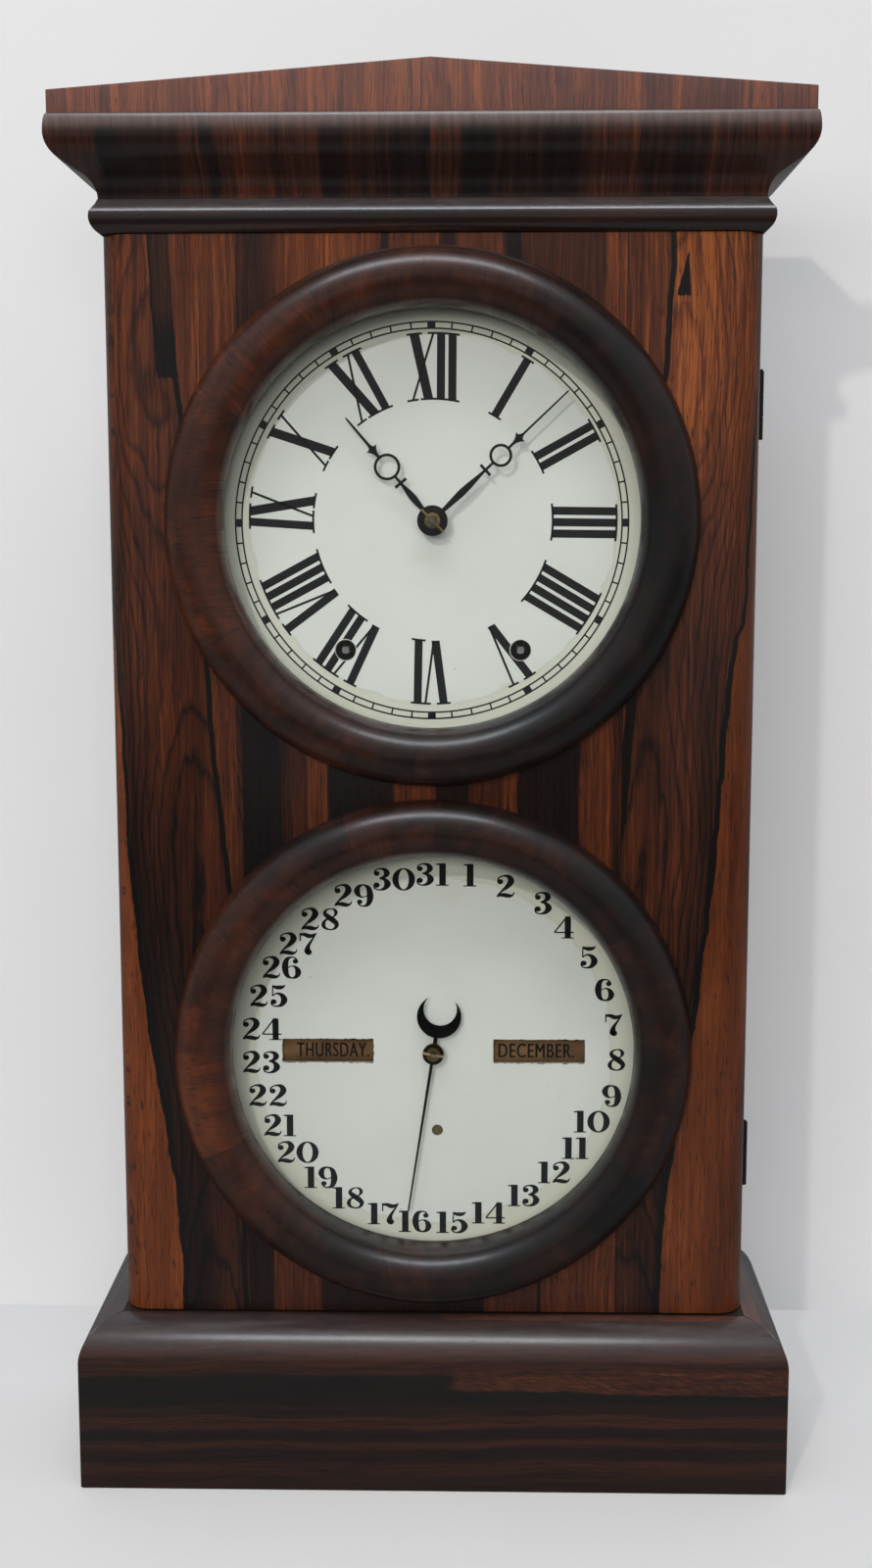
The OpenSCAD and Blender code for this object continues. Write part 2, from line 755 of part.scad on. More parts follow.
hand_boss_r = 7.5;
module minute_hand() {
    color("#20242a") {
        slab(minute_d, minute_d + minute_t) at([0, 0]) rotate(-minute_at)
            pierced_hand(minute_len, 5.6, minute_len / 2, minute_len * 0.388, minute_len * 0.636, hand_boss_r,
                1.5 + run, 0.55);
        slab(minute_d - boss_rise, minute_d) at([0, 0]) difference() {
            circle(hand_boss_r - 1.2);
            circle(1.5 + run);
        }
    }
}

module hour_hand() {
    color("#20242a") slab(hour_hand_d, hour_hand_d + 0.8) at([0, 0]) rotate(-hour_at)
        pierced_hand(hour_len, 6.5, hour_len * 0.52, hour_len * 0.364, hour_len * 0.69, 7, 3.5 + run, 0.7);
}

module hour_wheel() {
    color("#b08d45") difference() {
        union() {
            bar(0, upper_z, 3.5, hour_hand_d - gap, hour_d + 3);
            slab(hour_d, hour_d + 1.2) at([0, 0]) wheel(hour_n, hour_m, hour_rot, 4.5, 4);
        }
        bar(0, upper_z, centre_r + run, 0, case_d);
    }
}

module minute_wheel() {
    color("#b08d45") difference() {
        union() {
            slab(cannon_d + 0.4, cannon_d + 1.6) at([minute_at_x, 0]) wheel(minute_n, motion_m, minute_rot, 3.5, 4);
            slab(hour_d - 0.5, cannon_d + 0.6) at([minute_at_x, 0])
                polygon(leaf_teeth(minute_leaves, hour_m, minute_rot));
        }
        bar(minute_at_x, upper_z, 1.2 + run, 0, case_d);
    }
}

ratchet_tip = 12;
click_pivot = 19;

// Great wheel at p, loose on its winding arbor, with a post for its click
module great_wheel(p, rot) {
    difference() {
        union() {
            slab(great_d, great_d + 2.4) at(p) {
                wheel(great_n, great_m, rot, 8, 6);
                rotate(rot) translate([click_pivot, 0]) circle(3);
            }
            slab(great_d, great_d + 3.6) at(p) circle(5.5);
            slab(click_d, great_d + 1) at(p) rotate(rot) translate([click_pivot, 0]) circle(1);
        }
        slab(0, case_d) at(p) circle(great_arbor_r + run);
    }
}

module time_great_wheel() {
    color("#b08d45") great_wheel(great_at, great_rot);
}

// Winding arbor with its ratchet wheel and a square end for the key
square_w = 3.9;
module winding_arbor(p) {
    slab(dial_d + 0.3, board_back_d + 3) at(p) rotate(45) square(square_w, center = true);
    slab(board_back_d + 3, front_plate_d) at(p) circle(2.76);
    slab(front_plate_d, behind_d) at(p) circle(great_arbor_r);
    slab(click_d, click_d + 1.7) at(p) ratchet(18, ratchet_tip, ratchet_tip - 1.8);
}

module time_winding_arbor() {
    color("#8f8f8a") winding_arbor(great_at);
}

// Click on its post, resting just clear of the ratchet teeth
module click(p, rot) {
    slab(click_d, click_d + 1.4) at(p) rotate(rot) difference() {
        union() {
            translate([click_pivot, 0]) circle(2.6);
            polygon([
                [click_pivot - 2, -1.6], [click_pivot + 1, 2], polar(ratchet_tip + 2.6, 32),
                polar(ratchet_tip + gap, 34), polar(ratchet_tip + gap, 28)
            ]);
        }
        translate([click_pivot, 0]) circle(1 + run);
    }
}

module time_click() {
    color("#4c5560") click(great_at, great_rot);
}

module strike_click() {
    color("#4c5560") click(strike_at, 0);
}

module second_wheel() {
    color("#b08d45") {
        arbor(second_at);
        slab(great_d - 0.5, great_d + 3) at(second_at) polygon(leaf_teeth(great_leaves, great_m, second_rot));
        slab(second_wheel_d, second_wheel_d + 1.4) at(second_at) wheel(second_n, second_m, second_rot, 5);
    }
}

module third_wheel() {
    color("#b08d45") {
        arbor(third_at, 1.2);
        slab(centre_wheel_d - 1, centre_wheel_d + 2.5) at(third_at)
            polygon(leaf_teeth(leaves, centre_m, third_leaf_rot));
        slab(third_wheel_d, third_wheel_d + 1.2) at(third_at) wheel(third_n, third_m, third_leaf_rot, 4);
    }
}

escape_r = 18;
module escape_wheel() {
    color("#b08d45") {
        arbor(escape_at, 1.1);
        slab(third_wheel_d - 1, third_wheel_d + 2.5) at(escape_at)
            polygon(leaf_teeth(leaves, third_m, escape_leaf_rot));
        slab(great_d + 0.4, great_d + 1.4) at(escape_at) {
            difference() {
                ratchet(40, escape_r, escape_r - 2.4);
                circle(escape_r - 4);
            }
            for (a = [0 : 90 : 270]) rotate(a) translate([0, -1]) square([escape_r - 3, 2]);
            circle(3.5);
        }
    }
}

// Verge arbor with its two pallets, and the crutch that the pendulum's rod passes through
pallet_span = escape_r + 1.6;
crutch_len = 38;
module pallets() {
    tip = escape_at + polar(pallet_span, 40);
    crutch_z = upper_z + pivot_rise - crutch_len;
    color("#6e737a") {
        slab(front_plate_d, inside_d + gap) at(verge_at) circle(pivot_r);
        slab(inside_d + gap, behind_d + 2.5) at(verge_at) circle(arbor_r);
        slab(great_d, great_d + 1.8) pair() {
            at([0, 0]) strap(verge_at, tip + [1.5, 4], 2.4);
            at([0, 0]) strap(tip + [1.5, 4], tip + [0.5, 1], 2);
        }
        slab(behind_d + 1, behind_d + 2) at(verge_at) {
            circle(3);
            translate([-1.5, -crutch_len]) square([3, crutch_len]);
        }
        difference() {
            block(-4, 4, behind_d + 1, pendulum_d + 4, crutch_z - 3, crutch_z);
            block(-rod_half, rod_half, pendulum_d - rod_half, pendulum_d + 5, crutch_z - 4, crutch_z + 1);
        }
    }
}
wire_r = 1.3;
rod_half = wire_r + 0.1;

// Post on the back plate; the pendulum's suspension strip hangs from its lower end
module suspension_post() {
    z = upper_z + pivot_rise;
    color("#b08d45") {
        block(-4, 4, behind_d, pendulum_d + 3, z + 5, z + 13);
        block(-2.5, 2.5, pendulum_d - 1.5, pendulum_d + 1.5, z + 0.2, z + 5);
    }
}

bob_z = upper_z + pivot_rise - pendulum_len;
module pendulum_rod() {
    z = upper_z + pivot_rise;
    color("#a8863c") {
        block(-0.2, 0.2, pendulum_d - 1.2, pendulum_d + 1.2, z - 18, z - 0.1);
        stake(0, pendulum_d, wire_r, bob_z - bob_r - 9, z - 17);
    }
}

// Lens-shaped bob with a groove for the rod down its back and, under it, its rating nut
module pendulum_bob() {
    edge_t = 3;
    crown = [[0, -bob_t / 2], [bob_r * 0.5, -bob_t * 0.44], [bob_r * 0.8, -bob_t * 0.3], [bob_r, -edge_t / 2]];
    color("#b8923e") {
        difference() {
            translate([0, face_y + pendulum_d, bob_z]) rotate([90, 0, 0]) rotate_extrude()
                polygon(concat(crown, [for (i = [3 : -1 : 0]) [crown[i][0], -crown[i][1]]]));
            block(-rod_half, rod_half, pendulum_d - rod_half, pendulum_d + bob_t, bob_z - bob_r - 1, bob_z + bob_r + 1);
        }
        difference() {
            stake(0, pendulum_d, 4, bob_z - bob_r - 6, bob_z - bob_r - gap);
            stake(0, pendulum_d, wire_r + run, bob_z - bob_r - 10, bob_z);
        }
    }
}

// Great wheel of the strike, with the count wheel behind it
count_r = 24;
module strike_great_wheel() {
    color("#b08d45") {
        great_wheel(strike_at, 0);
        slab(great_d + 3.6, great_d + 4.8) at(strike_at) difference() {
            circle(count_r);
            circle(great_arbor_r + run);
            // One notch after each hour's blows
            for (h = [1 : 12]) rotate(h * (h + 1) / 2 * 360 / 78) translate([count_r - 2.5, -0.7]) square([4, 1.4]);
        }
    }
}

module strike_winding_arbor() {
    color("#8f8f8a") winding_arbor(strike_at);
}

pin_ring_r = pin_n * pin_m / 2 - 1.7;
module pin_wheel() {
    color("#b08d45") {
        arbor(pin_at);
        slab(great_d - 0.5, great_d + 3) at(pin_at) polygon(leaf_teeth(strike_leaves, great_m, pin_rot));
        slab(second_wheel_d, second_wheel_d + 1.4) at(pin_at) wheel(pin_n, pin_m, pin_rot, 4);
        slab(second_wheel_d - 3.5, second_wheel_d + 0.5) at(pin_at)
            for (i = [0 : 7]) rotate(pin_rot + 45 * i) translate([pin_ring_r, 0]) circle(0.7);
    }
}

module locking_wheel() {
    color("#b08d45") {
        arbor(locking_at, 1.2);
        slab(second_wheel_d - 1, second_wheel_d + 2.5) at(locking_at) polygon(leaf_teeth(leaves, pin_m, locking_rot));
        slab(inside_d + 8, inside_d + 9.2) at(locking_at) wheel(locking_n, locking_m, locking_rot, 4);
    }
}

module warning_wheel() {
    color("#b08d45") {
        arbor(warning_at, 1.1);
        slab(inside_d + 7, inside_d + 10.5) at(warning_at) polygon(leaf_teeth(leaves, locking_m, warning_rot));
        slab(inside_d + 15, inside_d + 16.2) at(warning_at) wheel(warning_n, warning_m, warning_rot, 4);
    }
}

// Air brake: a small pinion and a thin vane
module fly() {
    color("#b08d45") {
        arbor(fly_at, 1);
        slab(inside_d + 14, inside_d + 17.5) at(fly_at) polygon(leaf_teeth(leaves, warning_m, fly_rot));
        slab(inside_d + 19, inside_d + 32) at(fly_at) translate([-11, -0.9]) square([22, 1.8]);
    }
}

gong_at = [-93, -143];
gong_r = 36;
hammer_head = [-46, -136];
// Hammer on its arbor: a short tail beside the pins, and a long arm behind the back plate
module hammer() {
    color("#6e737a") {
        arbor(hammer_at, 1.2);
        slab(behind_d, behind_d + 2.6) at(hammer_at) circle(pivot_r);
        slab(second_wheel_d - 3, second_wheel_d - 1) at([0, 0]) strap(hammer_at, hammer_at + [13, 1], 2);
        slab(behind_d + 1.2, behind_d + 2.6) at([0, 0]) strap(hammer_at, hammer_head, 2.4);
        at_depth = behind_d + 2;
        translate([hammer_head[0] - 6, face_y + at_depth + 3, upper_z + hammer_head[1]]) rotate([0, 90, 0])
            cylinder(r = 3.6, h = 14);
    }
}

// Spiral gong on its block, which is fixed to the back board
module gong() {
    color("#3c434c") {
        slab(behind_d + 3.5, behind_d + 5.5) at(gong_at) {
            spiral(5, gong_r, 4, 2, 0);
            circle(6);
        }
        slab(behind_d + 2, back_d) at(gong_at) circle(4.5);
        slab(back_d - 4, back_d) at(gong_at) circle(10);
    }
}

// Calendar work

calendar_front_d = board_back_d;
calendar_in_d = calendar_front_d + plate_t;
calendar_back_d = calendar_in_d + calendar_space;
calendar_end_d = calendar_back_d + plate_t;
lever_at = [-46, 44];
lever_arm = 26;
year_at = [30, 44];
bracket_t = 1.5;
roller_pivot_r = 1.5;
bracket_gap = 2.5;
roller_room = roller_out - roller_in + 3;

// Places a shape of the calendar work at p, measured from its centre
module cal(p) translate([p[0], calendar_z + p[1]]) children();

// Bracket that carries one end of a roller; x is its inner face
module bracket(x, axis_d) {
    difference() {
        block(x, x + bracket_t, calendar_in_d, axis_d + 4, calendar_z - 4, calendar_z + 4);
        cross_bar(x - 1, x + bracket_t + 1, axis_d, calendar_z, roller_pivot_r + run);
    }
}

module calendar_frame() {
    color("#b08d45") {
        slab(calendar_front_d, calendar_in_d) difference() {
            cal([-calendar_half_w, -calendar_half_h]) square([2 * calendar_half_w, 2 * calendar_half_h]);
            cal([0, 0]) circle(date_arbor_r + run);
            for (p = [lever_at, year_at]) cal(p) circle(pivot_r + run);
            cal([set_x, -set_drop]) circle(3);
            cal([-roller_out - 1.2, -day_r - 1.5]) square([roller_room, 2 * day_r + 3]);
            cal([roller_in - 1.8, -month_r - 1.5]) square([roller_room, 2 * month_r + 3]);
        }
        slab(calendar_back_d, calendar_end_d) difference() {
            cal([-calendar_half_w, -calendar_half_h]) square([2 * calendar_half_w, 2 * calendar_half_h]);
            cal([0, 0]) circle(1 + run);
            for (p = [lever_at, year_at]) cal(p) circle(pivot_r + run);
        }
        slab(calendar_in_d, calendar_back_d) pair() for (z = [-1, 1])
            cal([calendar_half_w - 5, z * (calendar_half_h - 6)]) circle(3);
        // Brass stop behind the small setting hole
        slab(dial_d + 0.2, calendar_back_d) cal([set_x, -set_drop]) circle(set_r);
        bracket(-roller_out - bracket_gap - bracket_t, day_d);
        bracket(-roller_in + bracket_gap, day_d);
        bracket(roller_in - bracket_gap - bracket_t, month_d);
        bracket(roller_out + bracket_gap, month_d);
    }
}

// Calendar arbor with the date wheel of 31 teeth
date_hand_d = dial_d - 5;
date_tip_d = date_hand_d - 4.2;
module date_arbor() {
    color("#b8923e") difference() {
        union() {
            slab(date_tip_d, date_hand_d + 0.6) cal([0, 0]) circle(1.5);
            slab(date_hand_d + 0.6, calendar_back_d - gap) cal([0, 0]) circle(date_arbor_r);
            slab(calendar_back_d - gap, calendar_end_d) cal([0, 0]) circle(1);
            slab(calendar_in_d + 19, calendar_in_d + 20.5) cal([0, 0]) ratchet(31, 20, 17);
        }
        hand_cross(0.5 + run, calendar_z, date_tip_d + 1, 8, 100);
    }
    // Brass collet and its pin, in front of the hand
    color("#b8923e") {
        slab(date_hand_d - 1.6, date_hand_d) cal([0, 0]) difference() {
            circle(5.4);
            circle(1.5 + run);
        }
        slab(date_hand_d - 2.2, date_hand_d - 1.6) cal([0, 0]) difference() {
            circle(3.8);
            circle(1.5 + run);
        }
        hand_cross(0.5, calendar_z, date_tip_d + 1, 5.6, 100);
    }
}

crescent_r = 11.3;
crescent_mid = 19.6;
module calendar_hand() {
    neck = crescent_mid - crescent_r + 2;
    color("#20242a") slab(date_hand_d, date_hand_d + 0.6) cal([0, 0]) rotate(-date_at) difference() {
        union() {
            circle(4.2);
            polygon(two_sided([[0.8, -1], [0.42, date_len - 1.5], [0, date_len]]));
            translate([-1, -neck]) square([2, neck + 1]);
            translate([0, -crescent_mid]) difference() {
                circle(crescent_r);
                translate([0, -3.9]) circle(8.5);
            }
        }
        circle(1.5 + run);
    }
}

// Paper-covered roller with a star wheel at its inner end
module roller(x0, x1, r, axis_d, star_x, points) {
    cross_bar(x0, x1, axis_d, calendar_z, r);
    cross_bar(x0 - bracket_gap - bracket_t, x1 + bracket_gap + bracket_t, axis_d, calendar_z, roller_pivot_r);
    translate([star_x, face_y + axis_d, calendar_z]) rotate([90, 0, 90]) linear_extrude(1.2)
        ratchet(points, r * 0.8, r * 0.55);
}

module day_roller() {
    color("#a98f5c") roller(-roller_out, -roller_in, day_r, day_d, -roller_in - 0.2, 7);
}

module month_roller() {
    color("#a98f5c") roller(roller_in, roller_out, month_r, month_d, roller_in - 1, 12);
}

module calendar_arbor(p) {
    slab(calendar_in_d + gap, calendar_back_d - gap) cal(p) circle(arbor_r);
    slab(calendar_front_d, calendar_in_d + gap) cal(p) circle(pivot_r);
    slab(calendar_back_d - gap, calendar_end_d) cal(p) circle(pivot_r);
}

// Lever that the link rod lifts once a day; its lower arm reaches the date wheel
module calendar_lever() {
    color("#6e737a") {
        calendar_arbor(lever_at);
        slab(rod_d + 2, rod_d + 3.5) cal([0, 0]) strap(lever_at, lever_at + [lever_arm + 2, 0], 4);
        slab(calendar_in_d + 19, calendar_in_d + 20.5) cal([0, 0]) strap(lever_at, [-17, 21], 3);
    }
}

// Rod from the movement down to the calendar lever, with a hook under the lever's arm
module link_rod() {
    hook_z = calendar_z + lever_at[1] - 2 - gap;
    color("#6e737a") {
        stake(guide_x, rod_d, rod_r, hook_z - 2, upper_z - 16);
        block(guide_x - rod_r, guide_x + rod_r, rod_d, rod_d + 5, hook_z - 2, hook_z);
    }
}

// Wheel that turns once in four years
module year_wheel() {
    color("#b08d45") {
        calendar_arbor(year_at);
        slab(calendar_in_d + 27, calendar_in_d + 28.2) cal(year_at) ratchet(48, 13, 11.4);
    }
}

base_front();
base_sides();
front_rails();
case_sides();
case_bottom();
case_top();
back_board();
bead_moulding();
crown_front();
crown_sides();
gable_board();
gable_blocks();
dial_cleats();
dial_board();
time_dial();
calendar_dial();
door_panel();
time_ring();
calendar_ring();
sight_glasses();
glass_retainers();
hinge_case_leaves();
hinge_door_leaves();
door_catch();
movement_plates();
movement_pillars();
mainsprings();
centre_arbor();
hand_pin();
minute_hand();
hour_wheel();
hour_hand();
minute_wheel();
time_great_wheel();
time_winding_arbor();
time_click();
second_wheel();
third_wheel();
escape_wheel();
pallets();
suspension_post();
pendulum_rod();
pendulum_bob();
strike_great_wheel();
strike_winding_arbor();
strike_click();
pin_wheel();
locking_wheel();
warning_wheel();
fly();
hammer();
gong();
calendar_frame();
date_arbor();
calendar_hand();
day_roller();
month_roller();
calendar_lever();
link_rod();
year_wheel();
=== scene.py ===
"""Looks of the calendar clock: veneers, mouldings, painted dials, printed rollers, hands and glass."""

import random
from math import asin, cos, degrees, dist, exp, hypot, pi, radians, sin, sqrt

import bmesh
import bpy
from mathutils import Matrix, Vector


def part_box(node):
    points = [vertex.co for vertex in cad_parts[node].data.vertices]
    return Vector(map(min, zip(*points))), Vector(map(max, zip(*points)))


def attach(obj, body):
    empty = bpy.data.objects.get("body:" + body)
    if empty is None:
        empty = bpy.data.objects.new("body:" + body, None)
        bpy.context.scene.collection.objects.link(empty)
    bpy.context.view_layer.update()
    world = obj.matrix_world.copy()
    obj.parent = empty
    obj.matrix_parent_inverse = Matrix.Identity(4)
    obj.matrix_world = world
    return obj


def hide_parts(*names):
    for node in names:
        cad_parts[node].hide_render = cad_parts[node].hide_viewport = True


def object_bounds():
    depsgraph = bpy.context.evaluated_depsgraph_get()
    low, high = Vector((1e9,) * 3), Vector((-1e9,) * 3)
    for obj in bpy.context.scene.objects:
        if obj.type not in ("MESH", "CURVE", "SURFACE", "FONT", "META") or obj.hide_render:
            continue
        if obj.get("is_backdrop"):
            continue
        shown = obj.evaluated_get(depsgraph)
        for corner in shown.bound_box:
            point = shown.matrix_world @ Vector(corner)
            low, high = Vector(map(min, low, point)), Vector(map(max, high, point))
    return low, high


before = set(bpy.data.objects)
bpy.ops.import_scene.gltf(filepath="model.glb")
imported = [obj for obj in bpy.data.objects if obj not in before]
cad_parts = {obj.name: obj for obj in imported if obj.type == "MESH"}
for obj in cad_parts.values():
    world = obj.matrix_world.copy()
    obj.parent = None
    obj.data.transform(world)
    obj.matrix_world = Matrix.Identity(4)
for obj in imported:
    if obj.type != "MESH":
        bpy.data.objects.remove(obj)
CAD_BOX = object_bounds()
MM = 0.001
SCENE = bpy.context.scene
COLLECTION = SCENE.collection

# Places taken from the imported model, in millimetres
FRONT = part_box("door_panel")[0].y / MM
DIAL_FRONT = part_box("time_dial")[0].y / MM
UPPER = (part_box("time_dial")[0].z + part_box("time_dial")[1].z) / 2 / MM
DATES = (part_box("calendar_dial")[0].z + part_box("calendar_dial")[1].z) / 2 / MM
LOWER = (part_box("calendar_ring")[0].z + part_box("calendar_ring")[1].z) / 2 / MM
CROWN_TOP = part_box("crown_front")[1].z / MM
# The winding arbors' places to the right of the upper dial's middle and above it
WINDING = (43.7, -64)


# Camera at the photograph's place: metres, and degrees down, to the left and of roll

CAMERA_AT = (0.022, -0.9562, 0.4839)
DOWN, LEFT, ROLL = 7.73, 1.256, -0.05
camera_data = bpy.data.cameras.new("camera")
camera_data.sensor_fit = "AUTO"
camera_data.sensor_width = 36
camera_data.lens = 43.11
camera_data.clip_end = 50
camera = bpy.data.objects.new("camera", camera_data)
COLLECTION.objects.link(camera)
turn = Matrix.Rotation(radians(LEFT), 4, "Z") @ Matrix.Rotation(radians(90 - DOWN), 4, "X")
camera.matrix_world = Matrix.Translation(CAMERA_AT) @ turn @ Matrix.Rotation(radians(ROLL), 4, "Z")
SCENE.camera = camera
SCENE.view_settings.view_transform = "Standard"


# Node trees written as sums


def sum_node(operation, swapped=False):
    """A method that feeds its values, in turn or swapped, to a maths node."""
    def method(*values):
        return values[0].net.math(operation, *(values[::-1] if swapped else values))
    return method


class Value:
    """A node's output, which adds and multiplies as a number does."""

    def __init__(self, net, socket):
        self.net = net
        self.socket = socket

    __add__ = __radd__ = sum_node("ADD")
    __sub__ = sum_node("SUBTRACT")
    __rsub__ = sum_node("SUBTRACT", True)
    __mul__ = __rmul__ = sum_node("MULTIPLY")
    __truediv__ = sum_node("DIVIDE")
    __abs__ = sum_node("ABSOLUTE")


class Net:
    """The nodes of a material or a world."""

    def __init__(self, owner):
        self.owner = owner
        owner.use_nodes = True
        self.nodes = owner.node_tree.nodes
        self.links = owner.node_tree.links
        self.nodes.clear()

    def add(self, kind, **settings):
        node = self.nodes.new("ShaderNode" + kind)
        for key, value in settings.items():
            setattr(node, key, value)
        return node

    def feed(self, socket, value):
        """Links a value or an output to an input, or sets a number or a colour on it."""
        if isinstance(value, Value):
            self.links.new(value.socket, socket)
        elif hasattr(value, "is_linked"):
            self.links.new(value, socket)
        else:
            socket.default_value = (*value, 1) if isinstance(value, tuple) else value

    def fed(self, kind, *values, **settings):
        """The first output of a new node, whose inputs take the values in turn."""
        node = self.add(kind, **settings)
        for socket, value in zip(node.inputs, values):
            self.feed(socket, value)
        return Value(self, node.outputs[0])

    def math(self, operation, *values):
        return self.fed("Math", *values, operation=operation)

    def split(self, kind):
        """x, y and z of one kind of texture coordinate."""
        node = self.add("SeparateXYZ")
        self.feed(node.inputs[0], self.add("TexCoord").outputs[kind])
        return [Value(self, out) for out in node.outputs]

    def place(self):
        """x, y and z on the piece at rest, in millimetres."""
        return [part * (1 / MM) for part in self.split("Object")]

    def facing(self):
        """The surface's own direction as x, y and z."""
        return self.split("Normal")

    def radius(self, x, z):
        return self.math("SQRT", x * x + z * z)

    def noise(self, x, y, z, detail=2, roughness=0.5):
        # The second input is unused, and the third is the scale
        return self.fed("TexNoise", self.fed("CombineXYZ", x, y, z), 0, 1, detail, roughness)

    def stray(self, size, *at):
        """Noise from about minus half of size to plus half."""
        return (self.noise(*at) - 0.5) * size

    def cells(self, x, y, z):
        """A random number for each cell."""
        node = self.add("TexVoronoi")
        self.feed(node.inputs["Vector"], self.fed("CombineXYZ", x, y, z))
        node.inputs["Scale"].default_value = 1
        return self.fed("SeparateColor", node.outputs["Color"])

    def step(self, value, low, high):
        """0 below low and 1 above high, with a soft change between."""
        return self.fed("MapRange", value, low, high, 0, 1, interpolation_type="SMOOTHSTEP")

    def ramp(self, value, stops, mode="LINEAR"):
        """A value through a colour ramp of (place, colour or number)."""
        node = self.add("ValToRGB")
        node.color_ramp.interpolation = mode
        elements = node.color_ramp.elements
        for i, (at, colour) in enumerate(stops):
            if i < 2:
                element = elements[i]
                element.position = at
            else:
                element = elements.new(at)
            element.color = (colour,) * 3 + (1,) if isinstance(colour, (int, float)) else (*colour, 1)
        self.feed(node.inputs[0], value)
        return Value(self, node.outputs[0])

    def zones(self, x, zones, end, soft=0.7):
        """Tones side by side: zones is (start in millimetres, tone), and soft the width of a change."""
        start = zones[0][0]
        span = end - start
        stops = [(0, zones[0][1])]
        for (_, before), (at, after) in zip(zones, zones[1:]):
            place = (at - start) / span
            stops += [(place - soft / span / 2, before), (place + soft / span / 2, after)]
        stops.append((1, zones[-1][1]))
        return self.ramp((x - start) / span, stops)

    def held(self, value):
        """The value, held between 0 and 1."""
        return self.fed("Clamp", value, 0, 1)

    def curve(self, x, points):
        """A smooth line through (x, y) points, held level beyond its ends."""
        low, high = points[0][0], points[-1][0]
        bottom = min(p[1] for p in points)
        top = max(p[1] for p in points)
        node = self.add("FloatCurve")
        line = node.mapping.curves[0]
        for i, (px, py) in enumerate(points):
            spot = ((px - low) / (high - low), (py - bottom) / (top - bottom))
            if i in (0, len(points) - 1):
                line.points[0 if i == 0 else -1].location = spot
            else:
                line.points.new(*spot)
        node.mapping.update()
        self.feed(node.inputs["Value"], self.held((x - low) / (high - low)))
        return Value(self, node.outputs[0]) * (top - bottom) + bottom

    def blend(self, share, a, b):
        """a where share is 0 and b where it is 1, for colours."""
        node = self.add("Mix", data_type="RGBA")
        self.feed(node.inputs[0], share)
        self.feed(node.inputs[6], a)
        self.feed(node.inputs[7], b)
        return Value(self, node.outputs[2])

    def between(self, share, a, b):
        """a where share is 0 and b where it is 1, for numbers."""
        return a + share * (b - a)

    def finish(self, colour, roughness, height, bump, depth, **constants):
        """Joins colour, roughness and height to a shader, with the named constants set on it.

        bump is the strength of the height's relief, and depth its millimetres.
        """
        shader = self.add("BsdfPrincipled")
        self.feed(shader.inputs["Base Color"], colour)
        self.feed(shader.inputs["Roughness"], roughness)
        for key, value in constants.items():
            shader.inputs[key.replace("_", " ")].default_value = value
        relief = self.add("Bump")
        relief.inputs["Strength"].default_value = bump
        relief.inputs["Distance"].default_value = depth * MM
        self.feed(relief.inputs["Height"], height)
        self.feed(shader.inputs["Normal"], relief.outputs[0])
        return self.end(shader.outputs[0])

    def mix(self, share, a, b):
        """Shader a where share is 0 and shader b where it is 1."""
        return self.fed("MixShader", share, a, b)

    def end(self, shader, kind="OutputMaterial"):
        """Joins the shader to the output."""
        self.feed(self.add(kind).inputs[0], shader)
        return self.owner


def begin(name):
    """A new material's net, with x, y and z on the piece at rest in millimetres."""
    net = Net(bpy.data.materials.new(name))
    return net, *net.place()


# Woods

ROSEWOOD = [
    (0, (0.0055, 0.0044, 0.0043)),
    (0.2, (0.0145, 0.0065, 0.0048)),
    (0.45, (0.049, 0.0138, 0.0066)),
    (0.7, (0.123, 0.03, 0.0088)),
    (1, (0.275, 0.074, 0.0155)),
]
# Noise across and along the grain, from broad bands to short dashes: two scales, seed, detail, roughness and
# the two ends of its step
GRAIN = [
    (0.14, 0.004, 0, 3, 0.5, 0.3, 0.7),
    (0.5, 0.011, 3, 4, 0.65, 0.34, 0.66),
    (1.5, 0.03, 7, 3, 0.65, 0.36, 0.64),
    (0.9, 0.008, 13, 3, 0.6, 0.6, 0.65),
    (1.7, 0.12, 11, 2, 0.5, 0.6, 0.66),
]


def rosewood(net, across, along, layer, tone, streaks=1.0):
    """Varnished rosewood: its colour, roughness and relief, where tone is 0 for black and 1 for orange."""
    across = across + net.stray(5, across * 0.1, along * 0.018, layer + 15, 3, 0.6)
    broad, fine, hair, veins, dashes = (
        net.step(net.noise(across * wide, along * tall, layer + seed, detail, rough), low, high)
        for wide, tall, seed, detail, rough, low, high in GRAIN
    )
    swing = (broad - 0.5) * 0.14 + (fine - 0.5) * 0.22 + (hair - 0.5) * 0.22 - veins * 0.26
    value = tone + swing * streaks * (tone + 0.25) - dashes * (tone * 0.42)
    colour = net.ramp(value, ROSEWOOD)
    sheen = 0.25 + (fine - 0.5) * 0.06 + dashes * 0.12
    relief = hair * 0.5 + fine * 0.4 - dashes * 0.8
    return colour, sheen, relief


def varnished(net, parts, bump=0.22, dull=0.0, shine=0.12, dust_and_highlight=0.0):
    """Varnish over the wood, dusty grey and with a painted highlight where it faces up."""
    colour, sheen, relief = parts
    if dust_and_highlight:
        x, y, z = net.place()
        # What faces up turns dusty grey: dirt lying on it, and a painted highlight from the light above
        dust_and_highlight_share = net.step(net.facing()[2], 0.05, 0.8) * (net.noise(x * 0.1, y * 0.3, z * 0.5, 3) * 0.8 + 0.3)
        colour = net.blend(dust_and_highlight_share * dust_and_highlight, colour, (0.2, 0.17, 0.175))
    return net.finish(
        colour, sheen + dull, relief, bump, 0.03,
        Specular_IOR_Level=0.36, Coat_Weight=shine, Coat_Roughness=0.2,
    )


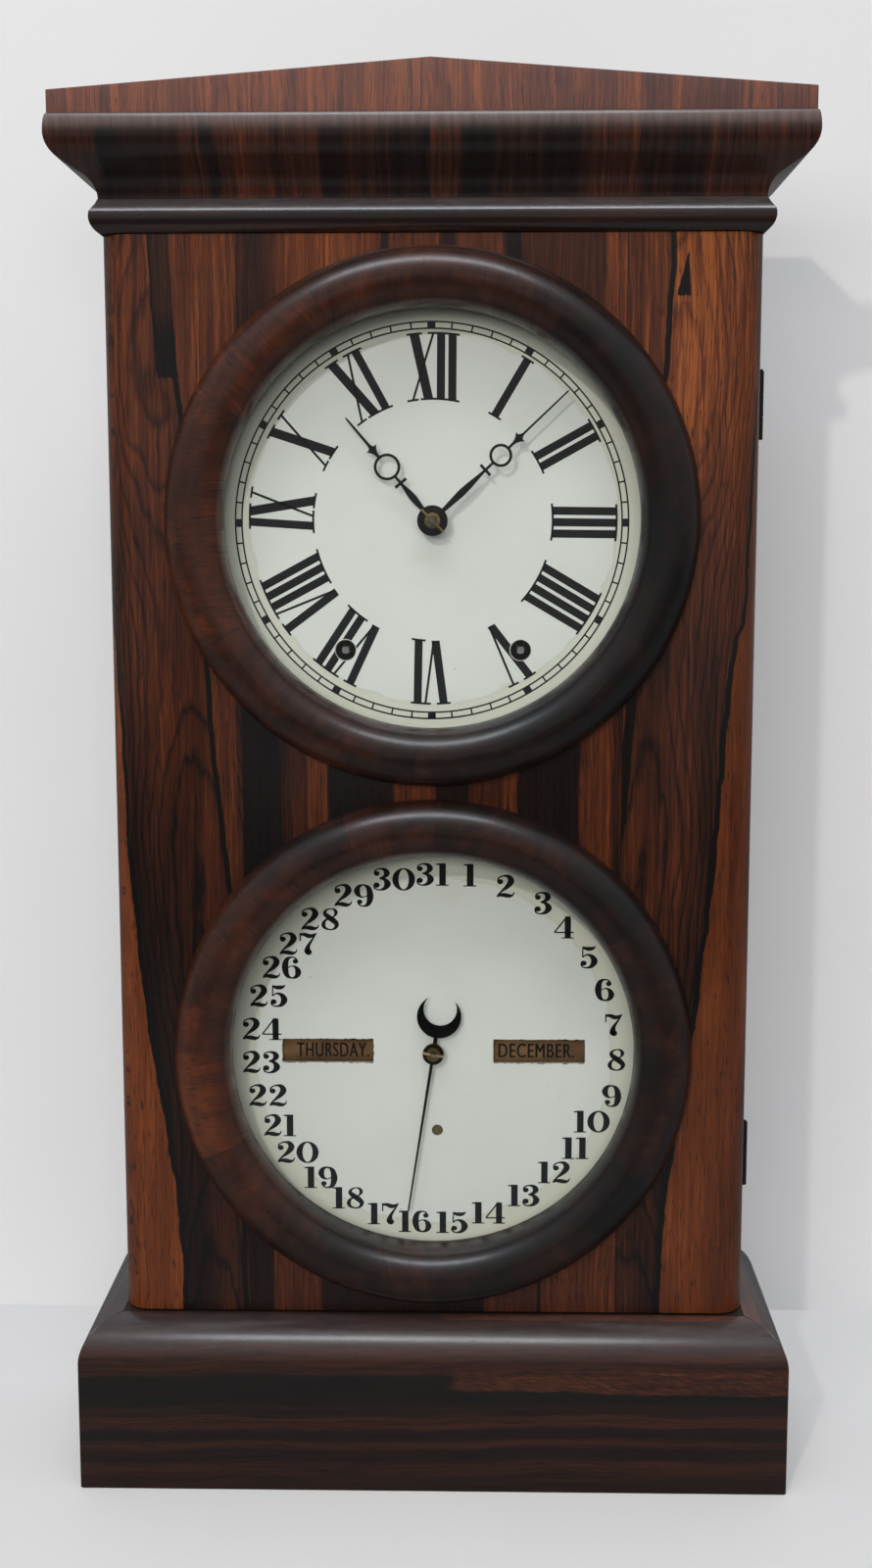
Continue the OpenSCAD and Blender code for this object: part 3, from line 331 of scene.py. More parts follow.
# Where the striped leaves end and the side leaves begin, and the lowest arch and the height of each
LEAF = 93.2
ARCH_LOW = 305
ARCH_TALL = 255
TOP_ZONES = [
    (-160, 0.5), (-67.4, 0.6), (-24.6, 0.12), (-20.4, 0.46), (3.8, 0.14), (10.7, 0.44), (33.9, 0.03),
    (42, 0.3), (82.3, 0.62), (92.7, 0.56),
]
MIDDLE_ZONES = [
    (-160, 0.02), (-81, 0.04), (-76, 0.42), (-62, 0.6), (-51.7, 0.07), (-19.8, 0.6), (2.9, 0.18),
    (19.3, 0.42), (36, 0.56), (42.9, 0.1), (72.8, 0.56), (89, 0.3), (93.5, 0.5),
]
LOW_ZONES = [
    (-160, 0.3), (-92.7, 0.13), (-80.5, 0.45), (-56.3, 0.16), (4.4, 0.1), (25.5, 0.42), (52.8, 0.0),
    (54.6, 0.52), (93.5, 0.36),
]


def door_material():
    """Upright veneers: striped leaves in the middle and a matched pair with arched grain at the sides."""
    net, x, y, z = begin("rosewood_door")
    wrap = net.math("MAXIMUM", y - FRONT, 0)
    size = abs(x)
    right = net.step(x, -0.1, 0.1)
    across = size + right * 12 + wrap * 0.9
    sway = net.noise(z * 0.012, 2.5, right * 5, 2) - 0.5

    # Striped leaves
    shifted = x + sway * 5 + net.stray(1.6, z * 0.06, 7, 1, 3)
    lift = net.stray(60, x * 0.12, 3, z * 0.01, 2)
    stripes = net.between(
        net.step(z + lift, 430, 560),
        net.between(
            net.step(z + lift * 0.5, 150, 250),
            net.zones(shifted, LOW_ZONES, 160),
            net.zones(shifted, MIDDLE_ZONES, 160),
        ),
        net.zones(shifted, TOP_ZONES, 160),
    )
    dark_strip = net.step(x, -LEAF, -LEAF + 0.4) * (1 - net.step(shifted, -81, -67)) * net.step(z, 100, 300)
    stripes = net.between(dark_strip, stripes, net.between(net.step(z, 430, 560), 0.03, 0.19))

    # Matched side leaves with arches
    middle = 112 + net.held((z - ARCH_LOW) / ARCH_TALL) * 22
    bend = (across - middle) / 13.5
    wave = net.math("COSINE", (z - ARCH_LOW) * (2 * pi / ARCH_TALL)) * -1.5
    rough = net.stray(3.4, across * 0.035, z * 0.011, 9 + right * 4, 3)
    jag = net.stray(0.5, across * 0.3, z * 0.05, 4 + right * 4, 3, 0.6)
    rings = net.math("FRACT", (bend * bend + wave + rough + jag) * 0.95)
    line = net.ramp(rings, [(0, 0.1), (0.05, 0.6), (0.2, 1), (0.8, 0.9), (1, 0.3)])
    arched = net.noise(across * 0.07, z * 0.006, 20 + right * 3, 2) * 0.5 + 0.1 + right * 0.07
    # Painted light: the side leaves lighter towards the top, the right one more
    arched = arched + (line - 0.75) * 0.34 + net.step(z, 420, 580) * (0.21 + right * 0.14)

    # Wavy black line between heartwood and the paler wood at the outer edges
    edge = net.curve(z, [
        (80, 127.5), (119, 128), (155, 131), (184, 135), (231, 142), (266, 146), (300, 149.5), (320, 152),
        (366, 154.5), (400, 157.5), (430, 161), (440, 166), (480, 169), (560, 176),
    ])
    edge = edge + net.stray(5, z * 0.05, right * 6, 1, 4, 0.6)
    past = across - edge
    heart_shade = net.step(past, -26, -2) * 0.1
    low_shade = (1 - net.step(z, 240, 420)) * 0.13
    clouds = net.stray(0.7, across * 0.06, z * 0.011, 31 + right * 7, 3) * (0.35 + right * 0.65)
    pale = 0.72 - right * 0.08 + clouds
    thick_line = 1.3 + net.noise(z * 0.03, 14, right * 6, 2) * 3
    black = net.step(past + thick_line, 0, 0.8) * (1 - net.step(past, 0, 0.5))
    side = net.between(net.step(past, 0, 0.6), arched - heart_shade - low_shade, pale) * (1 - black * 0.97)

    # Thin black line that crosses the side leaves, with a black tongue at its head
    thin = net.curve(z, [
        (250, 96), (290, 98.5), (309, 101), (345, 105), (377, 108), (414, 110), (480, 116), (540, 121.3),
        (561, 124), (623, 127),
    ])
    thin = thin + net.stray(5, z * 0.03, 8 + right * 3, 1, 3)
    far = across - thin
    thick = 0.9 + right * 1.1 * (1 - net.step(z, 400, 480))
    scar = 1 - net.step(abs(far), thick, thick + 0.7)
    side = side * (1 - scar * 0.93)
    inner = net.step(across, 96, 96.5) * (1 - net.step(far, -1, 0))
    strip = 0.6 - low_shade + net.stray(0.5, across * 0.2, z * 0.01, 50 + right * 9, 2)
    side = net.between(inner, side, strip * (1 - scar * 0.93))
    off = abs(far - 3.2)
    ragged = net.stray(3, x * 0.6, 5, z * 0.3, 3)
    tongue = (1 - net.step(off, 4.8, 5.3)) * net.step(z + ragged, 555, 557)
    outline = net.step(off, 3.6, 4.2) * net.step(far, 0, 1)
    ink = net.between(net.step(z + ragged * 5, 570, 592) * (1 - outline), 0.02, 0.3)
    side = net.between(tongue * (1 - right), side, ink)
    down = (616 - z) / 23
    reach = abs(x - 122 + down * 2.2)
    blot = net.step(down * 3.8 - reach + ragged * 0.3, 0, 0.6) * net.step(z + ragged, 593, 594.5)
    side = side * (1 - blot * right * 0.96)

    beyond = net.step(size, LEAF, LEAF + 0.3)
    # Painted light: the striped leaves lighter towards the top, where more light falls
    tone = net.between(beyond, stripes + net.step(z, 540, 610) * 0.1, side)
    joint = 1 - net.step(abs(size - LEAF), 0.12, 0.34)
    calm = 1 - net.step(past, 0, 1) * beyond * 0.5
    colour, sheen, relief = rosewood(net, x + wrap, z, 1 + right * 5, tone * (1 - joint * 0.85), calm)
    inside = net.step(net.facing()[1], 0.4, 0.5)
    colour = net.blend(inside, colour, (0.11, 0.045, 0.02))
    return varnished(net, (colour, sheen, relief), shine=0.05)


GABLE_LEFT = [
    (-180, 0.28), (-168, 0.5), (-152, 0.15), (-148, 0.5), (-119, 0.14), (-114, 0.46), (-100, 0.16),
    (-97, 0.55), (-66, 0.12), (-62, 0.54), (-42, 0.16), (-34, 0.52), (0, 0.15),
]
GABLE_RIGHT = [
    (0, 0.18), (3, 0.46), (20, 0.64), (24, 0.4), (40, 0.62), (44, 0.42), (58, 0.12), (62, 0.36), (79, 0.18),
    (86, 0.5), (98, 0.08), (107, 0.34), (118, 0.08), (142, 0.6), (155, 0.42), (163, 0.2),
]
CROWN_LEFT = [
    (-182, 0.34), (-156, 0.05), (-143, 0.2), (-118, 0.33), (-106, 0.05), (-100, 0.46), (-74, 0.1),
    (-70, 0.38), (-52, 0.15), (-38, 0.27), (-24, 0.14), (-4, 0.05), (0, 0.4),
]
CROWN_RIGHT = [
    (0, 0.42), (14, 0.04), (29, 0.22), (52, 0.1), (70, 0.3), (78, 0.42), (98, 0.12), (101, 0.28),
    (112, 0.16), (128, 0.38), (150, 0.42), (165, 0.36),
]


def banded_material(name, left, right, layer, contrast, lift, shine, painted_sheen, dust_and_highlight):
    """Narrow upright leaves of veneer, side by side along a moulding's front and returns.

    contrast and lift scale and raise the leaves' tones, shine is the varnish's weight, haze greys the whole
    face as a painted reflection, and dust makes what faces up dusty grey with a painted highlight.
    """
    net, x, y, z = begin(name)
    returned = net.step(abs(net.facing()[0]), 0.45, 0.55)
    lean = x + net.stray(7, x * 0.06, 1, z * 0.05, 3)
    front = net.between(net.step(x, -0.1, 0.1), net.zones(lean, left, 0, 3), net.zones(lean, right, 182, 3))
    random = net.cells(y * 0.07 + layer, 0.5, 0.5)
    tone = net.between(returned, front * contrast + lift, random * 0.3 + 0.14)
    across = net.between(returned, x, y) + net.stray(4, z * 0.03, x * 0.02, layer, 2)
    drift = net.step(net.noise(across * 0.28, z * 0.012, layer, 4, 0.6), 0.3, 0.7)
    line = net.step(net.noise(across * 0.5, z * 0.02, layer + 9, 3, 0.6), 0.6, 0.68)
    tone = (tone + (drift - 0.5) * 0.2) * (1 - line * 0.6)
    colour, sheen, relief = rosewood(net, across, z, layer, tone, 0.9)
    # Painted reflection: the whole face greyed, as the room's light shining in the varnish
    colour = net.blend(painted_sheen, colour, (0.3, 0.2, 0.2))
    # Painted highlight: a lighter band just under the crown's top edge, where it catches the light from above
    painted_highlight = net.step(z, CROWN_TOP - 9, CROWN_TOP - 3) * (1 - net.step(z, CROWN_TOP - 0.2, CROWN_TOP))
    colour = net.blend(painted_highlight * (drift * 0.3 + 0.35), colour, (0.2, 0.14, 0.125))
    return varnished(net, (colour, sheen, relief), 0.26, 0.12, shine, dust_and_highlight)


PLINTH_ZONES = [
    (0, 0.22), (9, 0.3), (16, 0.16), (23, 0.32), (27, 0.12), (33, 0.34), (40, 0.2), (46, 0.05), (62, 0.28),
    (68, 0.36), (76, 0.3),
]


def plinth_material():
    """Level grain in dark bands, with a redder streak at the upper right."""
    net, x, y, z = begin("rosewood_base")
    returned = net.step(abs(net.facing()[0]), 0.45, 0.55)
    along = net.between(returned, x, y)
    sway = net.stray(16, along * 0.006, 2, returned * 4, 2) - x * 0.014
    height = z + sway * 0.8 + net.stray(3.5, along * 0.03, z * 0.05, 3, 3)
    tone = net.zones(height, PLINTH_ZONES, 90, 3)
    ragged = net.stray(7, x * 0.05, 6, z * 0.2, 4, 0.6)
    bottom = 52 + (1 - net.step(x, 60, 120)) * 1.5 + ragged * 0.5
    streak = net.step(x + ragged * 3, 6, 14) * net.step(z, bottom, bottom + 1) * (1 - net.step(z, 63, 69))
    feather = net.noise(x * 0.25 + z * 0.5, z * 0.4, 5, 3)
    tone = net.between(streak * (1 - returned), tone, 0.42 + (feather - 0.5) * 0.6)
    depth = y - FRONT
    ledge = net.step(z, 83.5, 84.5) * net.step(depth, -6.5, -5.5) * net.step(x + ragged * 4, 0, 8)
    tone = net.between(ledge * (1 - returned), tone, 0.62)
    return varnished(net, rosewood(net, height, along, 40, tone, 0.95), 0.3, 0.07, 0.5, 0.25)


def bead_material():
    """Dark level grain, dusty grey and with a painted highlight along the top."""
    net, x, y, z = begin("rosewood_bead")
    along = x + y
    tone = 0.2 + net.stray(0.7, along * 0.008, z * 0.25, 3, 2)
    return varnished(net, rosewood(net, z * 1.5 + y, along, 60, tone, 0.8), 0.3, 0.0, 1.0, 0.7)


def ring_material(name, centre, seams, layer):
    """Short leaves of veneer laid round a ring, each with its grain pointing at the middle."""
    net, x, y, z = begin(name)
    rise = z - centre
    angle = net.math("ARCTAN2", x, rise) * (180 / pi)
    radius = net.radius(x, rise)
    turned = angle + 180
    leaf = 0
    mid = (seams[0] + seams[-1] - 360) / 2
    for number, (a, b) in enumerate(zip(seams, seams[1:])):
        inside = net.step(turned, a - 0.05, a + 0.05) * (1 - net.step(turned, b - 0.05, b + 0.05))
        leaf = leaf + inside * (number + 1)
        mid = net.between(inside, mid, (a + b) / 2)
    lean = (turned - mid) * (pi / 180) * 0.55
    across = radius * net.math("SINE", lean)
    along = radius * net.math("COSINE", lean) + (y - FRONT) * 0.6
    random = net.noise(leaf * 7.3, 1.7, layer, 0)
    blotch = net.noise(across * 0.03, along * 0.03, leaf * 3 + layer, 3, 0.55)
    # Painted shade: each ring darker to the right and towards the bottom, away from the light at the upper
    # left
    shade = x * 0.0016 + net.math("MAXIMUM", 0 - rise, 0) * 0.0012
    mottle = net.step(net.noise(across * 0.16, along * 0.1, leaf * 2 + layer, 3, 0.6), 0.35, 0.65)
    tone = 0.285 + (random - 0.5) * 0.2 + (blotch - 0.5) * 0.8 + (mottle - 0.5) * 0.12 - shade
    joint = 0
    for a in seams:
        joint = net.math("MAXIMUM", joint, 1 - net.step(abs(turned - a), 0.06, 0.16))
    colour, sheen, relief = rosewood(net, across, along, layer + leaf * 2, tone - joint * 0.2, 0.4)
    wipe = net.noise(across * 0.25, along * 0.02, layer, 2)
    return varnished(net, (colour, sheen + (wipe - 0.5) * 0.12, relief - joint * 2), 0.2, 0.12, 0.3)


def side_material():
    """The case's sides: one wide leaf of upright grain each."""
    net, x, y, z = begin("rosewood_side")
    sway = net.noise(z * 0.006, 3, x * 0.02, 2) * 26
    bands = net.noise((y + sway) * 0.07, z * 0.0015, x * 0.02, 3)
    edge = net.noise((y + sway) * 0.35, z * 0.004, 4, 2)
    tone = 0.34 + (bands - 0.5) * 1.3 + (edge - 0.5) * 0.4
    return varnished(net, rosewood(net, y + sway, z, x * 0.05, tone, 0.6))


def softwood_material(name, dark, pale, level=False, stain_and_shade=0.0):
    """Plain sawn wood with a few growth lines; stained is the share of black on what faces the door:
    black stain, and painted shade inside the case.
    """
    net, x, y, z = begin(name)
    across, along = (z, x) if level else (x, z)
    sway = net.noise(across * 0.008, along * 0.0016, 2, 2) * 70
    lines = net.math("FRACT", (across + sway + y * 0.3) * 0.06)
    growth = net.ramp(lines, [(0, 0.1), (0.15, 0.9), (0.7, 0.7), (1, 0.1)])
    fibre = net.noise(across * 1.4, along * 0.02, y * 0.4, 4, 0.6)
    stain = net.noise(across * 0.01, along * 0.01, y * 0.01, 3)
    share = growth * 0.4 + fibre * 0.55 + (stain - 0.5) * 0.6
    # Black on what faces the door: partly stain, partly painted shade inside the closed case
    stain_and_shade_here = (1 - net.step(y, FRONT + 36, FRONT + 40)) * stain_and_shade
    colour = net.blend(stain_and_shade_here, net.blend(share, dark, pale), (0.011, 0.006, 0.004))
    return net.finish(colour, 0.62 + (fibre - 0.5) * 0.2, fibre + growth * 0.3, 0.35, 0.15)


# Paint, paper, metal and glass


def dial_material(name, centre, patch):
    """Off-white paint, touched up inside a ragged circle and yellowed outside it."""
    net, x, y, z = begin(name)
    rise = z - centre
    radius = net.radius(x, rise)
    ragged = net.stray(9, x * 0.05, 2, z * 0.05, 4, 0.6)
    old = net.step(radius + ragged, patch - 0.7, patch + 0.7)
    edge = 1 - net.step(abs(radius + ragged - patch), 0, 1.2)
    cloud = net.noise(x * 0.02, 4, z * 0.02, 3)
    grey = net.blend(net.step(cloud, 0.3, 0.7), (0.73, 0.755, 0.7), (0.77, 0.79, 0.745))
    cream = net.blend(cloud, (0.66, 0.67, 0.55), (0.72, 0.73, 0.63))
    colour = net.blend(old, grey, cream)
    colour = net.blend(edge * 0.22, colour, (0.43, 0.42, 0.33))
    specks = net.noise(x * 0.5, 8, z * 0.5, 2)
    colour = net.blend(net.step(specks, 0.745, 0.77) * 0.75, colour, (0.16, 0.14, 0.11))
    strokes = net.noise(x * 1.6, 3, z * 0.25, 3)
    stain = net.step(net.noise(x * 0.035, 12, z * 0.035, 3), 0.6, 0.8)
    colour = net.blend(stain * 0.25, colour, (0.65, 0.6, 0.47))
    return net.finish(colour, 0.5 + strokes * 0.12, strokes + old * 0.4, 0.12, 0.05)


def paint_material(name, wear):
    """Black paint with worn spots, the more of them the higher wear is."""
    net, x, y, z = begin(name)
    rub = net.noise(x * 0.8, 1, z * 0.8, 4, 0.7)
    patchy = net.noise(x * 0.06, 5, z * 0.06, 2)
    worn = net.step(rub + (patchy - 0.5) * 0.35, 0.74, 0.77)
    shade = net.blend(net.noise(x * 0.3, 2, z * 0.3, 2), (0.006, 0.006, 0.007), (0.016, 0.015, 0.015))
    colour = net.blend(worn * (0.8 * wear), shade, (0.4, 0.4, 0.35))
    return net.finish(colour, 0.6 + rub * 0.15, rub, 0.1, 0.03, Specular_IOR_Level=0.12)


def paper_material():
    """Brown aged paper with darker clouds."""
    net, x, y, z = begin("roller_paper")
    fibre = net.noise(x * 0.7, y * 0.7, z * 0.7, 4, 0.6)
    cloud = net.noise(x * 0.06, y * 0.1, z * 0.1 + 3, 3)
    colour = net.blend(net.step(cloud, 0.3, 0.72), (0.082, 0.041, 0.015), (0.2, 0.103, 0.042))
    colour = net.blend(fibre * 0.4, colour, (0.12, 0.07, 0.035))
    return net.finish(colour, 0.75, fibre, 0.2, 0.06)


def metal_material(name, base, worn, roughness, wear=0.6):
    """Metal with scratches, tarnish and worn places."""
    net, x, y, z = begin(name)
    scratch = net.noise(x * 4 + z * 2, y * 3, z * 0.7, 3, 0.6)
    cloud = net.noise(x * 0.25, y * 0.25, z * 0.25, 4, 0.6)
    share = net.step(cloud, 0.35, 0.75) * wear + (scratch - 0.5) * 0.3
    colour = net.blend(share, base, worn)
    sheen = roughness + (cloud - 0.5) * 0.25 + (scratch - 0.5) * 0.12
    return net.finish(colour, sheen, scratch, 0.12, 0.03, Metallic=1)


def oily_material(name, base, worn, start, end):
    """Metal painted black between two distances from a winding arbor's middle, as the shade inside its hole.
    """
    net, x, y, z = begin(name)
    beside = abs(abs(x) - WINDING[0])
    above = abs(z - UPPER - WINDING[1])
    away = net.math("MAXIMUM", beside, above)
    # Painted shade: black where the winding holes are dark inside, on the squares' sides and the plate behind
    painted_hole_shade = net.step(away, start, start + 0.3) * (1 - net.step(away, end - 2, end))
    scratch = net.noise(x * 4, y * 3, z * 4, 3, 0.6)
    colour = net.blend(painted_hole_shade * 0.97, net.blend(scratch, base, worn), (0.008, 0.006, 0.005))
    return net.finish(colour, 0.36 + painted_hole_shade * 0.3 + scratch * 0.1, scratch, 0.12, 0.03, Metallic=1)


def hub_material():
    """Brass of the calendar's collet, tarnished outside its raised middle, with a bright pin."""
    net, x, y, z = begin("hub_brass")
    rise = z - DATES
    radius = net.radius(x, rise)
    tilt = radians(100)
    off = abs(x * cos(tilt) - rise * sin(tilt))
    scratch = net.noise(x * 4, y * 3, z * 4, 3, 0.6)
    plain = net.blend(scratch, (0.5, 0.36, 0.14), (0.26, 0.18, 0.08))
    dirt = net.step(radius, 3.3, 3.7) * 0.93 + (1 - net.step(radius, 1.7, 1.9)) * 0.5
    colour = net.blend(dirt, plain, (0.022, 0.016, 0.01))
    colour = net.blend(1 - net.step(off, 0.5, 0.62), colour, (0.62, 0.5, 0.32))
    colour = net.blend(1 - net.step(radius, 0.9, 1.1), colour, (0.6, 0.6, 0.6))
    return net.finish(colour, 0.26 + scratch * 0.15, scratch, 0.15, 0.03, Metallic=1)


def iron_material():
    """Dark painted iron, with rust at its edges."""
    net, x, y, z = begin("hinge_iron")
    grit = net.noise(x * 1.2, y * 1.2, z * 1.2, 4, 0.7)
    rust = net.step(net.noise(x * 0.3, y * 0.3, z * 0.3, 3), 0.55, 0.75)
    colour = net.blend(rust * 0.5, (0.016, 0.014, 0.014), (0.07, 0.028, 0.015))
    return net.finish(colour, 0.5 + grit * 0.2, grit, 0.4, 0.08, Metallic=0.5)


def glass_material():
    """Clear old glass with slow ripples."""
    net, x, y, z = begin("glass")
    ripple = net.noise(x * 0.03, y * 0.03, z * 0.03, 2)
    return net.finish((0.97, 0.985, 0.975), 0.02, ripple, 0.15, 0.4, IOR=1.38, Transmission_Weight=1.0)


# Brass where it is bright and where it is worn
BRASS = ((0.50, 0.37, 0.16), (0.22, 0.16, 0.08))

MATERIALS = {
    "base": plinth_material(),
    "bead": bead_material(),
    "crown": banded_material(
        "rosewood_crown", CROWN_LEFT, CROWN_RIGHT, 70,
        contrast=0.9, lift=0.03, shine=0.35, painted_sheen=0.0, dust_and_highlight=0.9,
    ),
    "gable": banded_material(
        "rosewood_gable", GABLE_LEFT, GABLE_RIGHT, 80,
        contrast=0.55, lift=0.5, shine=0.3, painted_sheen=0.2, dust_and_highlight=0.3,
    ),
    "door": door_material(),
    "side": side_material(),
    "upper_ring": ring_material("rosewood_ring", UPPER, [4, 61, 118, 152, 213, 262, 320], 90),
    "lower_ring": ring_material("rosewood_ring_low", LOWER, [28, 66, 104, 160, 181, 236, 300], 120),
    "inner": softwood_material("inner_wood", (0.12, 0.055, 0.025), (0.27, 0.145, 0.07), stain_and_shade=0.96),
    "back": softwood_material("back_wood", (0.10, 0.055, 0.03), (0.24, 0.14, 0.075)),
    "top": softwood_material("top_wood", (0.08, 0.045, 0.028), (0.19, 0.115, 0.065), level=True),
    "time_dial": dial_material("time_dial_paint", UPPER, patch=91),
    "date_dial": dial_material("date_dial_paint", DATES, patch=92),
    "ink": paint_material("dial_paint", 1),
    "print": paint_material("roller_print", 0.5),
    "paper": paper_material(),
    "brass": metal_material("brass", *BRASS, 0.27),
    "steel": metal_material("steel", (0.36, 0.36, 0.36), (0.14, 0.13, 0.12), 0.33),
    "blued": metal_material("blued_steel", (0.03, 0.027, 0.027), (0.016, 0.013, 0.012), 0.36, 0.8),
    "spring": metal_material("spring_steel", (0.3, 0.31, 0.34), (0.12, 0.13, 0.17), 0.3),
    "iron": iron_material(),
    "hub": hub_material(),
    "square": oily_material("winding_steel", (0.8, 0.79, 0.77), (0.5, 0.48, 0.46), start=1.55, end=400),
    "plate": oily_material("plate_brass", *BRASS, start=-1, end=12),
    "glass": glass_material(),
}


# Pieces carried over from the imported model


def put(name, mesh, material):
    """A new object of a mesh in one material."""
    mesh.materials.append(material)
    thing = bpy.data.objects.new(name, mesh)
    COLLECTION.objects.link(thing)
    return thing


def mesh_of(name, shape):
    """A mesh of an edited shape, which is then freed."""
    mesh = bpy.data.meshes.new(name)
    shape.to_mesh(mesh)
    shape.free()
    return mesh


# The record's slots, each with the materials that stand for it, turned into each material's slot
SLOTS = {
    name: slot for slot, names in {
        "rosewood_base": "base", "rosewood_bead": "bead", "rosewood_door": "door", "rosewood_side": "side",
        "rosewood_crown": "crown gable", "rosewood_ring": "upper_ring lower_ring",
        "inner_wood": "inner back top", "dial_paint": "time_dial date_dial ink",
        "roller_paper": "print paper", "brass": "brass plate hub", "steel": "steel square",
        "blued_steel": "blued", "spring_steel": "spring", "hinge_iron": "iron", "glass": "glass",
    }.items() for name in names.split()
}


def eased(node, name, body, material, bevel=0.0, sharp=38):
    """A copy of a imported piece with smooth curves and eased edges, shown in its place."""
    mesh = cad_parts[node].data.copy()
    mesh.materials.clear()
    shape = bmesh.new()
    shape.from_mesh(mesh)
    bmesh.ops.remove_doubles(shape, verts=shape.verts, dist=2e-6)
    bmesh.ops.dissolve_limit(shape, angle_limit=radians(0.5), verts=shape.verts, edges=shape.edges)
    limit = radians(sharp)
    crisp = [e for e in shape.edges if len(e.link_faces) == 2 and e.calc_face_angle() > limit]
    if bevel:
        bmesh.ops.bevel(
            shape, geom=crisp, offset=bevel * MM, segments=3, profile=0.5, affect="EDGES", clamp_overlap=True
        )
    for face in shape.faces:
        face.smooth = True
    for edge in shape.edges:
        edge.smooth = len(edge.link_faces) != 2 or edge.calc_face_angle() < limit
    thing = put(name, mesh_of(name, shape), MATERIALS[material])
    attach(thing, body)
    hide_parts(node)


eased("base_front", "plinth_front", "case", "base", 0.7)
eased("base_sides", "plinth_sides", "case", "base", 0.7)
eased("bead_moulding", "bead", "case", "bead")
eased("crown_front", "crown_moulding", "case", "crown", 0.35)
eased("crown_sides", "crown_returns", "case", "crown", 0.35)
eased("gable_board", "gable", "case", "gable", 0.4, 20)
eased("case_sides", "sides", "case", "side", 0.6)
eased("back_board", "back", "case", "back", 0.5)
eased("door_panel", "door_veneer", "door", "door", 0.6)
eased("time_ring", "upper_sight_ring", "door", "upper_ring")
eased("calendar_ring", "lower_sight_ring", "door", "lower_ring")
eased("date_arbor", "date_wheel_arbor", "date", "hub", 0.15)
eased("hand_pin", "hand_washer_pin", "centre", "brass", 0.25)
eased("minute_hand", "long_hand", "centre", "blued", 0.12)
eased("hour_hand", "short_hand", "hour", "blued", 0.12)
eased("calendar_hand", "date_hand", "date", "blued", 0.12)

PAINTED = {
    "inner": "front_rails case_bottom dial_cleats dial_board glass_retainers",
    "top": "case_top gable_blocks",
    "time_dial": "time_dial",
    "date_dial": "calendar_dial",
    "glass": "sight_glasses",
    "iron": "hinge_case_leaves hinge_door_leaves",
    "paper": "day_roller month_roller",
    "spring": "mainsprings gong",
    "square": "time_winding_arbor strike_winding_arbor",
    "plate": "movement_plates",
    "steel": (
        "time_click strike_click pallets pendulum_rod hammer calendar_lever link_rod suspension_post "
        "centre_arbor"
    ),
    "brass": (
        "movement_pillars hour_wheel minute_wheel time_great_wheel second_wheel third_wheel "
        "escape_wheel pendulum_bob strike_great_wheel pin_wheel locking_wheel warning_wheel fly "
        "calendar_frame year_wheel door_catch"
    ),
}
for material, names in PAINTED.items():
    for name in names.split():
        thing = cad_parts[name]
        thing.data.materials.clear()
        thing.data.materials.append(MATERIALS[material])
# Clear panes cast no shadow on the dials
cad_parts["sight_glasses"].visible_shadow = False


# Lettering: flat shapes with a little thickness, drawn in millimetres from a dial's middle

PAINT_THICK = 0.05
PRINT_THICK = 0.03


def fill_out(name, body, shape, lift, material):
    """Makes a piece of flat faces, closed into thin slabs; lift moves a point of them outwards."""
    bmesh.ops.remove_doubles(shape, verts=shape.verts, dist=1e-6)
    grown = bmesh.ops.extrude_face_region(shape, geom=shape.faces[:], use_keep_orig=True)["geom"]
    for part in grown:
        if isinstance(part, bmesh.types.BMVert):
            part.co = lift(part.co)
    bmesh.ops.recalc_face_normals(shape, faces=shape.faces)
    thing = put(name, mesh_of(name, shape), MATERIALS[material])
    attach(thing, body)


class Sheet:
    """Collects flat outlines on a dial's face and makes one piece of them."""

    def __init__(self, centre):
        self.shape = bmesh.new()
        self.centre = centre

    def outline(self, points):
        """A filled outline of (x, z) points."""
        self.shape.faces.new([
            self.shape.verts.new((x * MM, DIAL_FRONT * MM, (self.centre + z) * MM)) for x, z in points
        ])

    def band(self, left, right, closed=False):
        """A ribbon between two lines of points."""
        count = len(left)
        for i in range(count if closed else count - 1):
            j = (i + 1) % count
            if dist(left[i], right[i]) + dist(left[j], right[j]) > 0.02:
                self.outline([left[i], left[j], right[j], right[i]])

    def make(self, name, material="ink"):
        fill_out(name, "case", self.shape, lambda at: at - Vector((0, PAINT_THICK * MM, 0)), material)


def circle_points(radius, count, start=0.0, end=360.0, centre=(0, 0)):
    """Points clockwise from the top; the last is left out of a full turn."""
    full = abs(end - start) >= 360
    result = []
    for i in range(count if full else count + 1):
        a = radians(start + (end - start) * i / count)
        result.append((centre[0] + radius * sin(a), centre[1] + radius * cos(a)))
    return result


def ring_band(sheet, inner, outer, start=0.0, end=360.0, count=180, centre=(0, 0)):
    """A flat ring or a part of one."""
    sides = [circle_points(r, count, start, end, centre) for r in (outer, inner)]
    sheet.band(*sides, abs(end - start) >= 360)


TRACK_OUT = 97.3
TRACK_IN = 94.1
# Half the width of the lines and of the hours' marks
LINE = 0.4
HOUR_MARK = 1.95
# The track was printed a little off the dial's middle
TRACK_AT = (-0.6, -1.0)
track = Sheet(UPPER)
for radius in (TRACK_OUT, TRACK_IN):
    ring_band(track, radius - LINE, radius + LINE, centre=TRACK_AT)
for minute in range(60):
    swing = degrees((HOUR_MARK if minute % 5 == 0 else LINE) / TRACK_IN)
    ring_band(track, TRACK_IN + LINE, TRACK_OUT - LINE, minute * 6 - swing, minute * 6 + swing, 2, TRACK_AT)
track.make("minute_track")

NUMERALS = "XII I II III IIII V VI VII VIII IX X XI".split()
# How far round each numeral was painted past its hour, in degrees
LATE = [0.35, 0.8, 1.1, 0.7, 0.6, 0.5, 1.1, 3.6, 1.7, 3.8, 1.2, 1.1]
TALL_OUT = 90.8
TALL_IN = 59.3
THICK = 4.0
THIN = 1.15
SERIF = 0.52
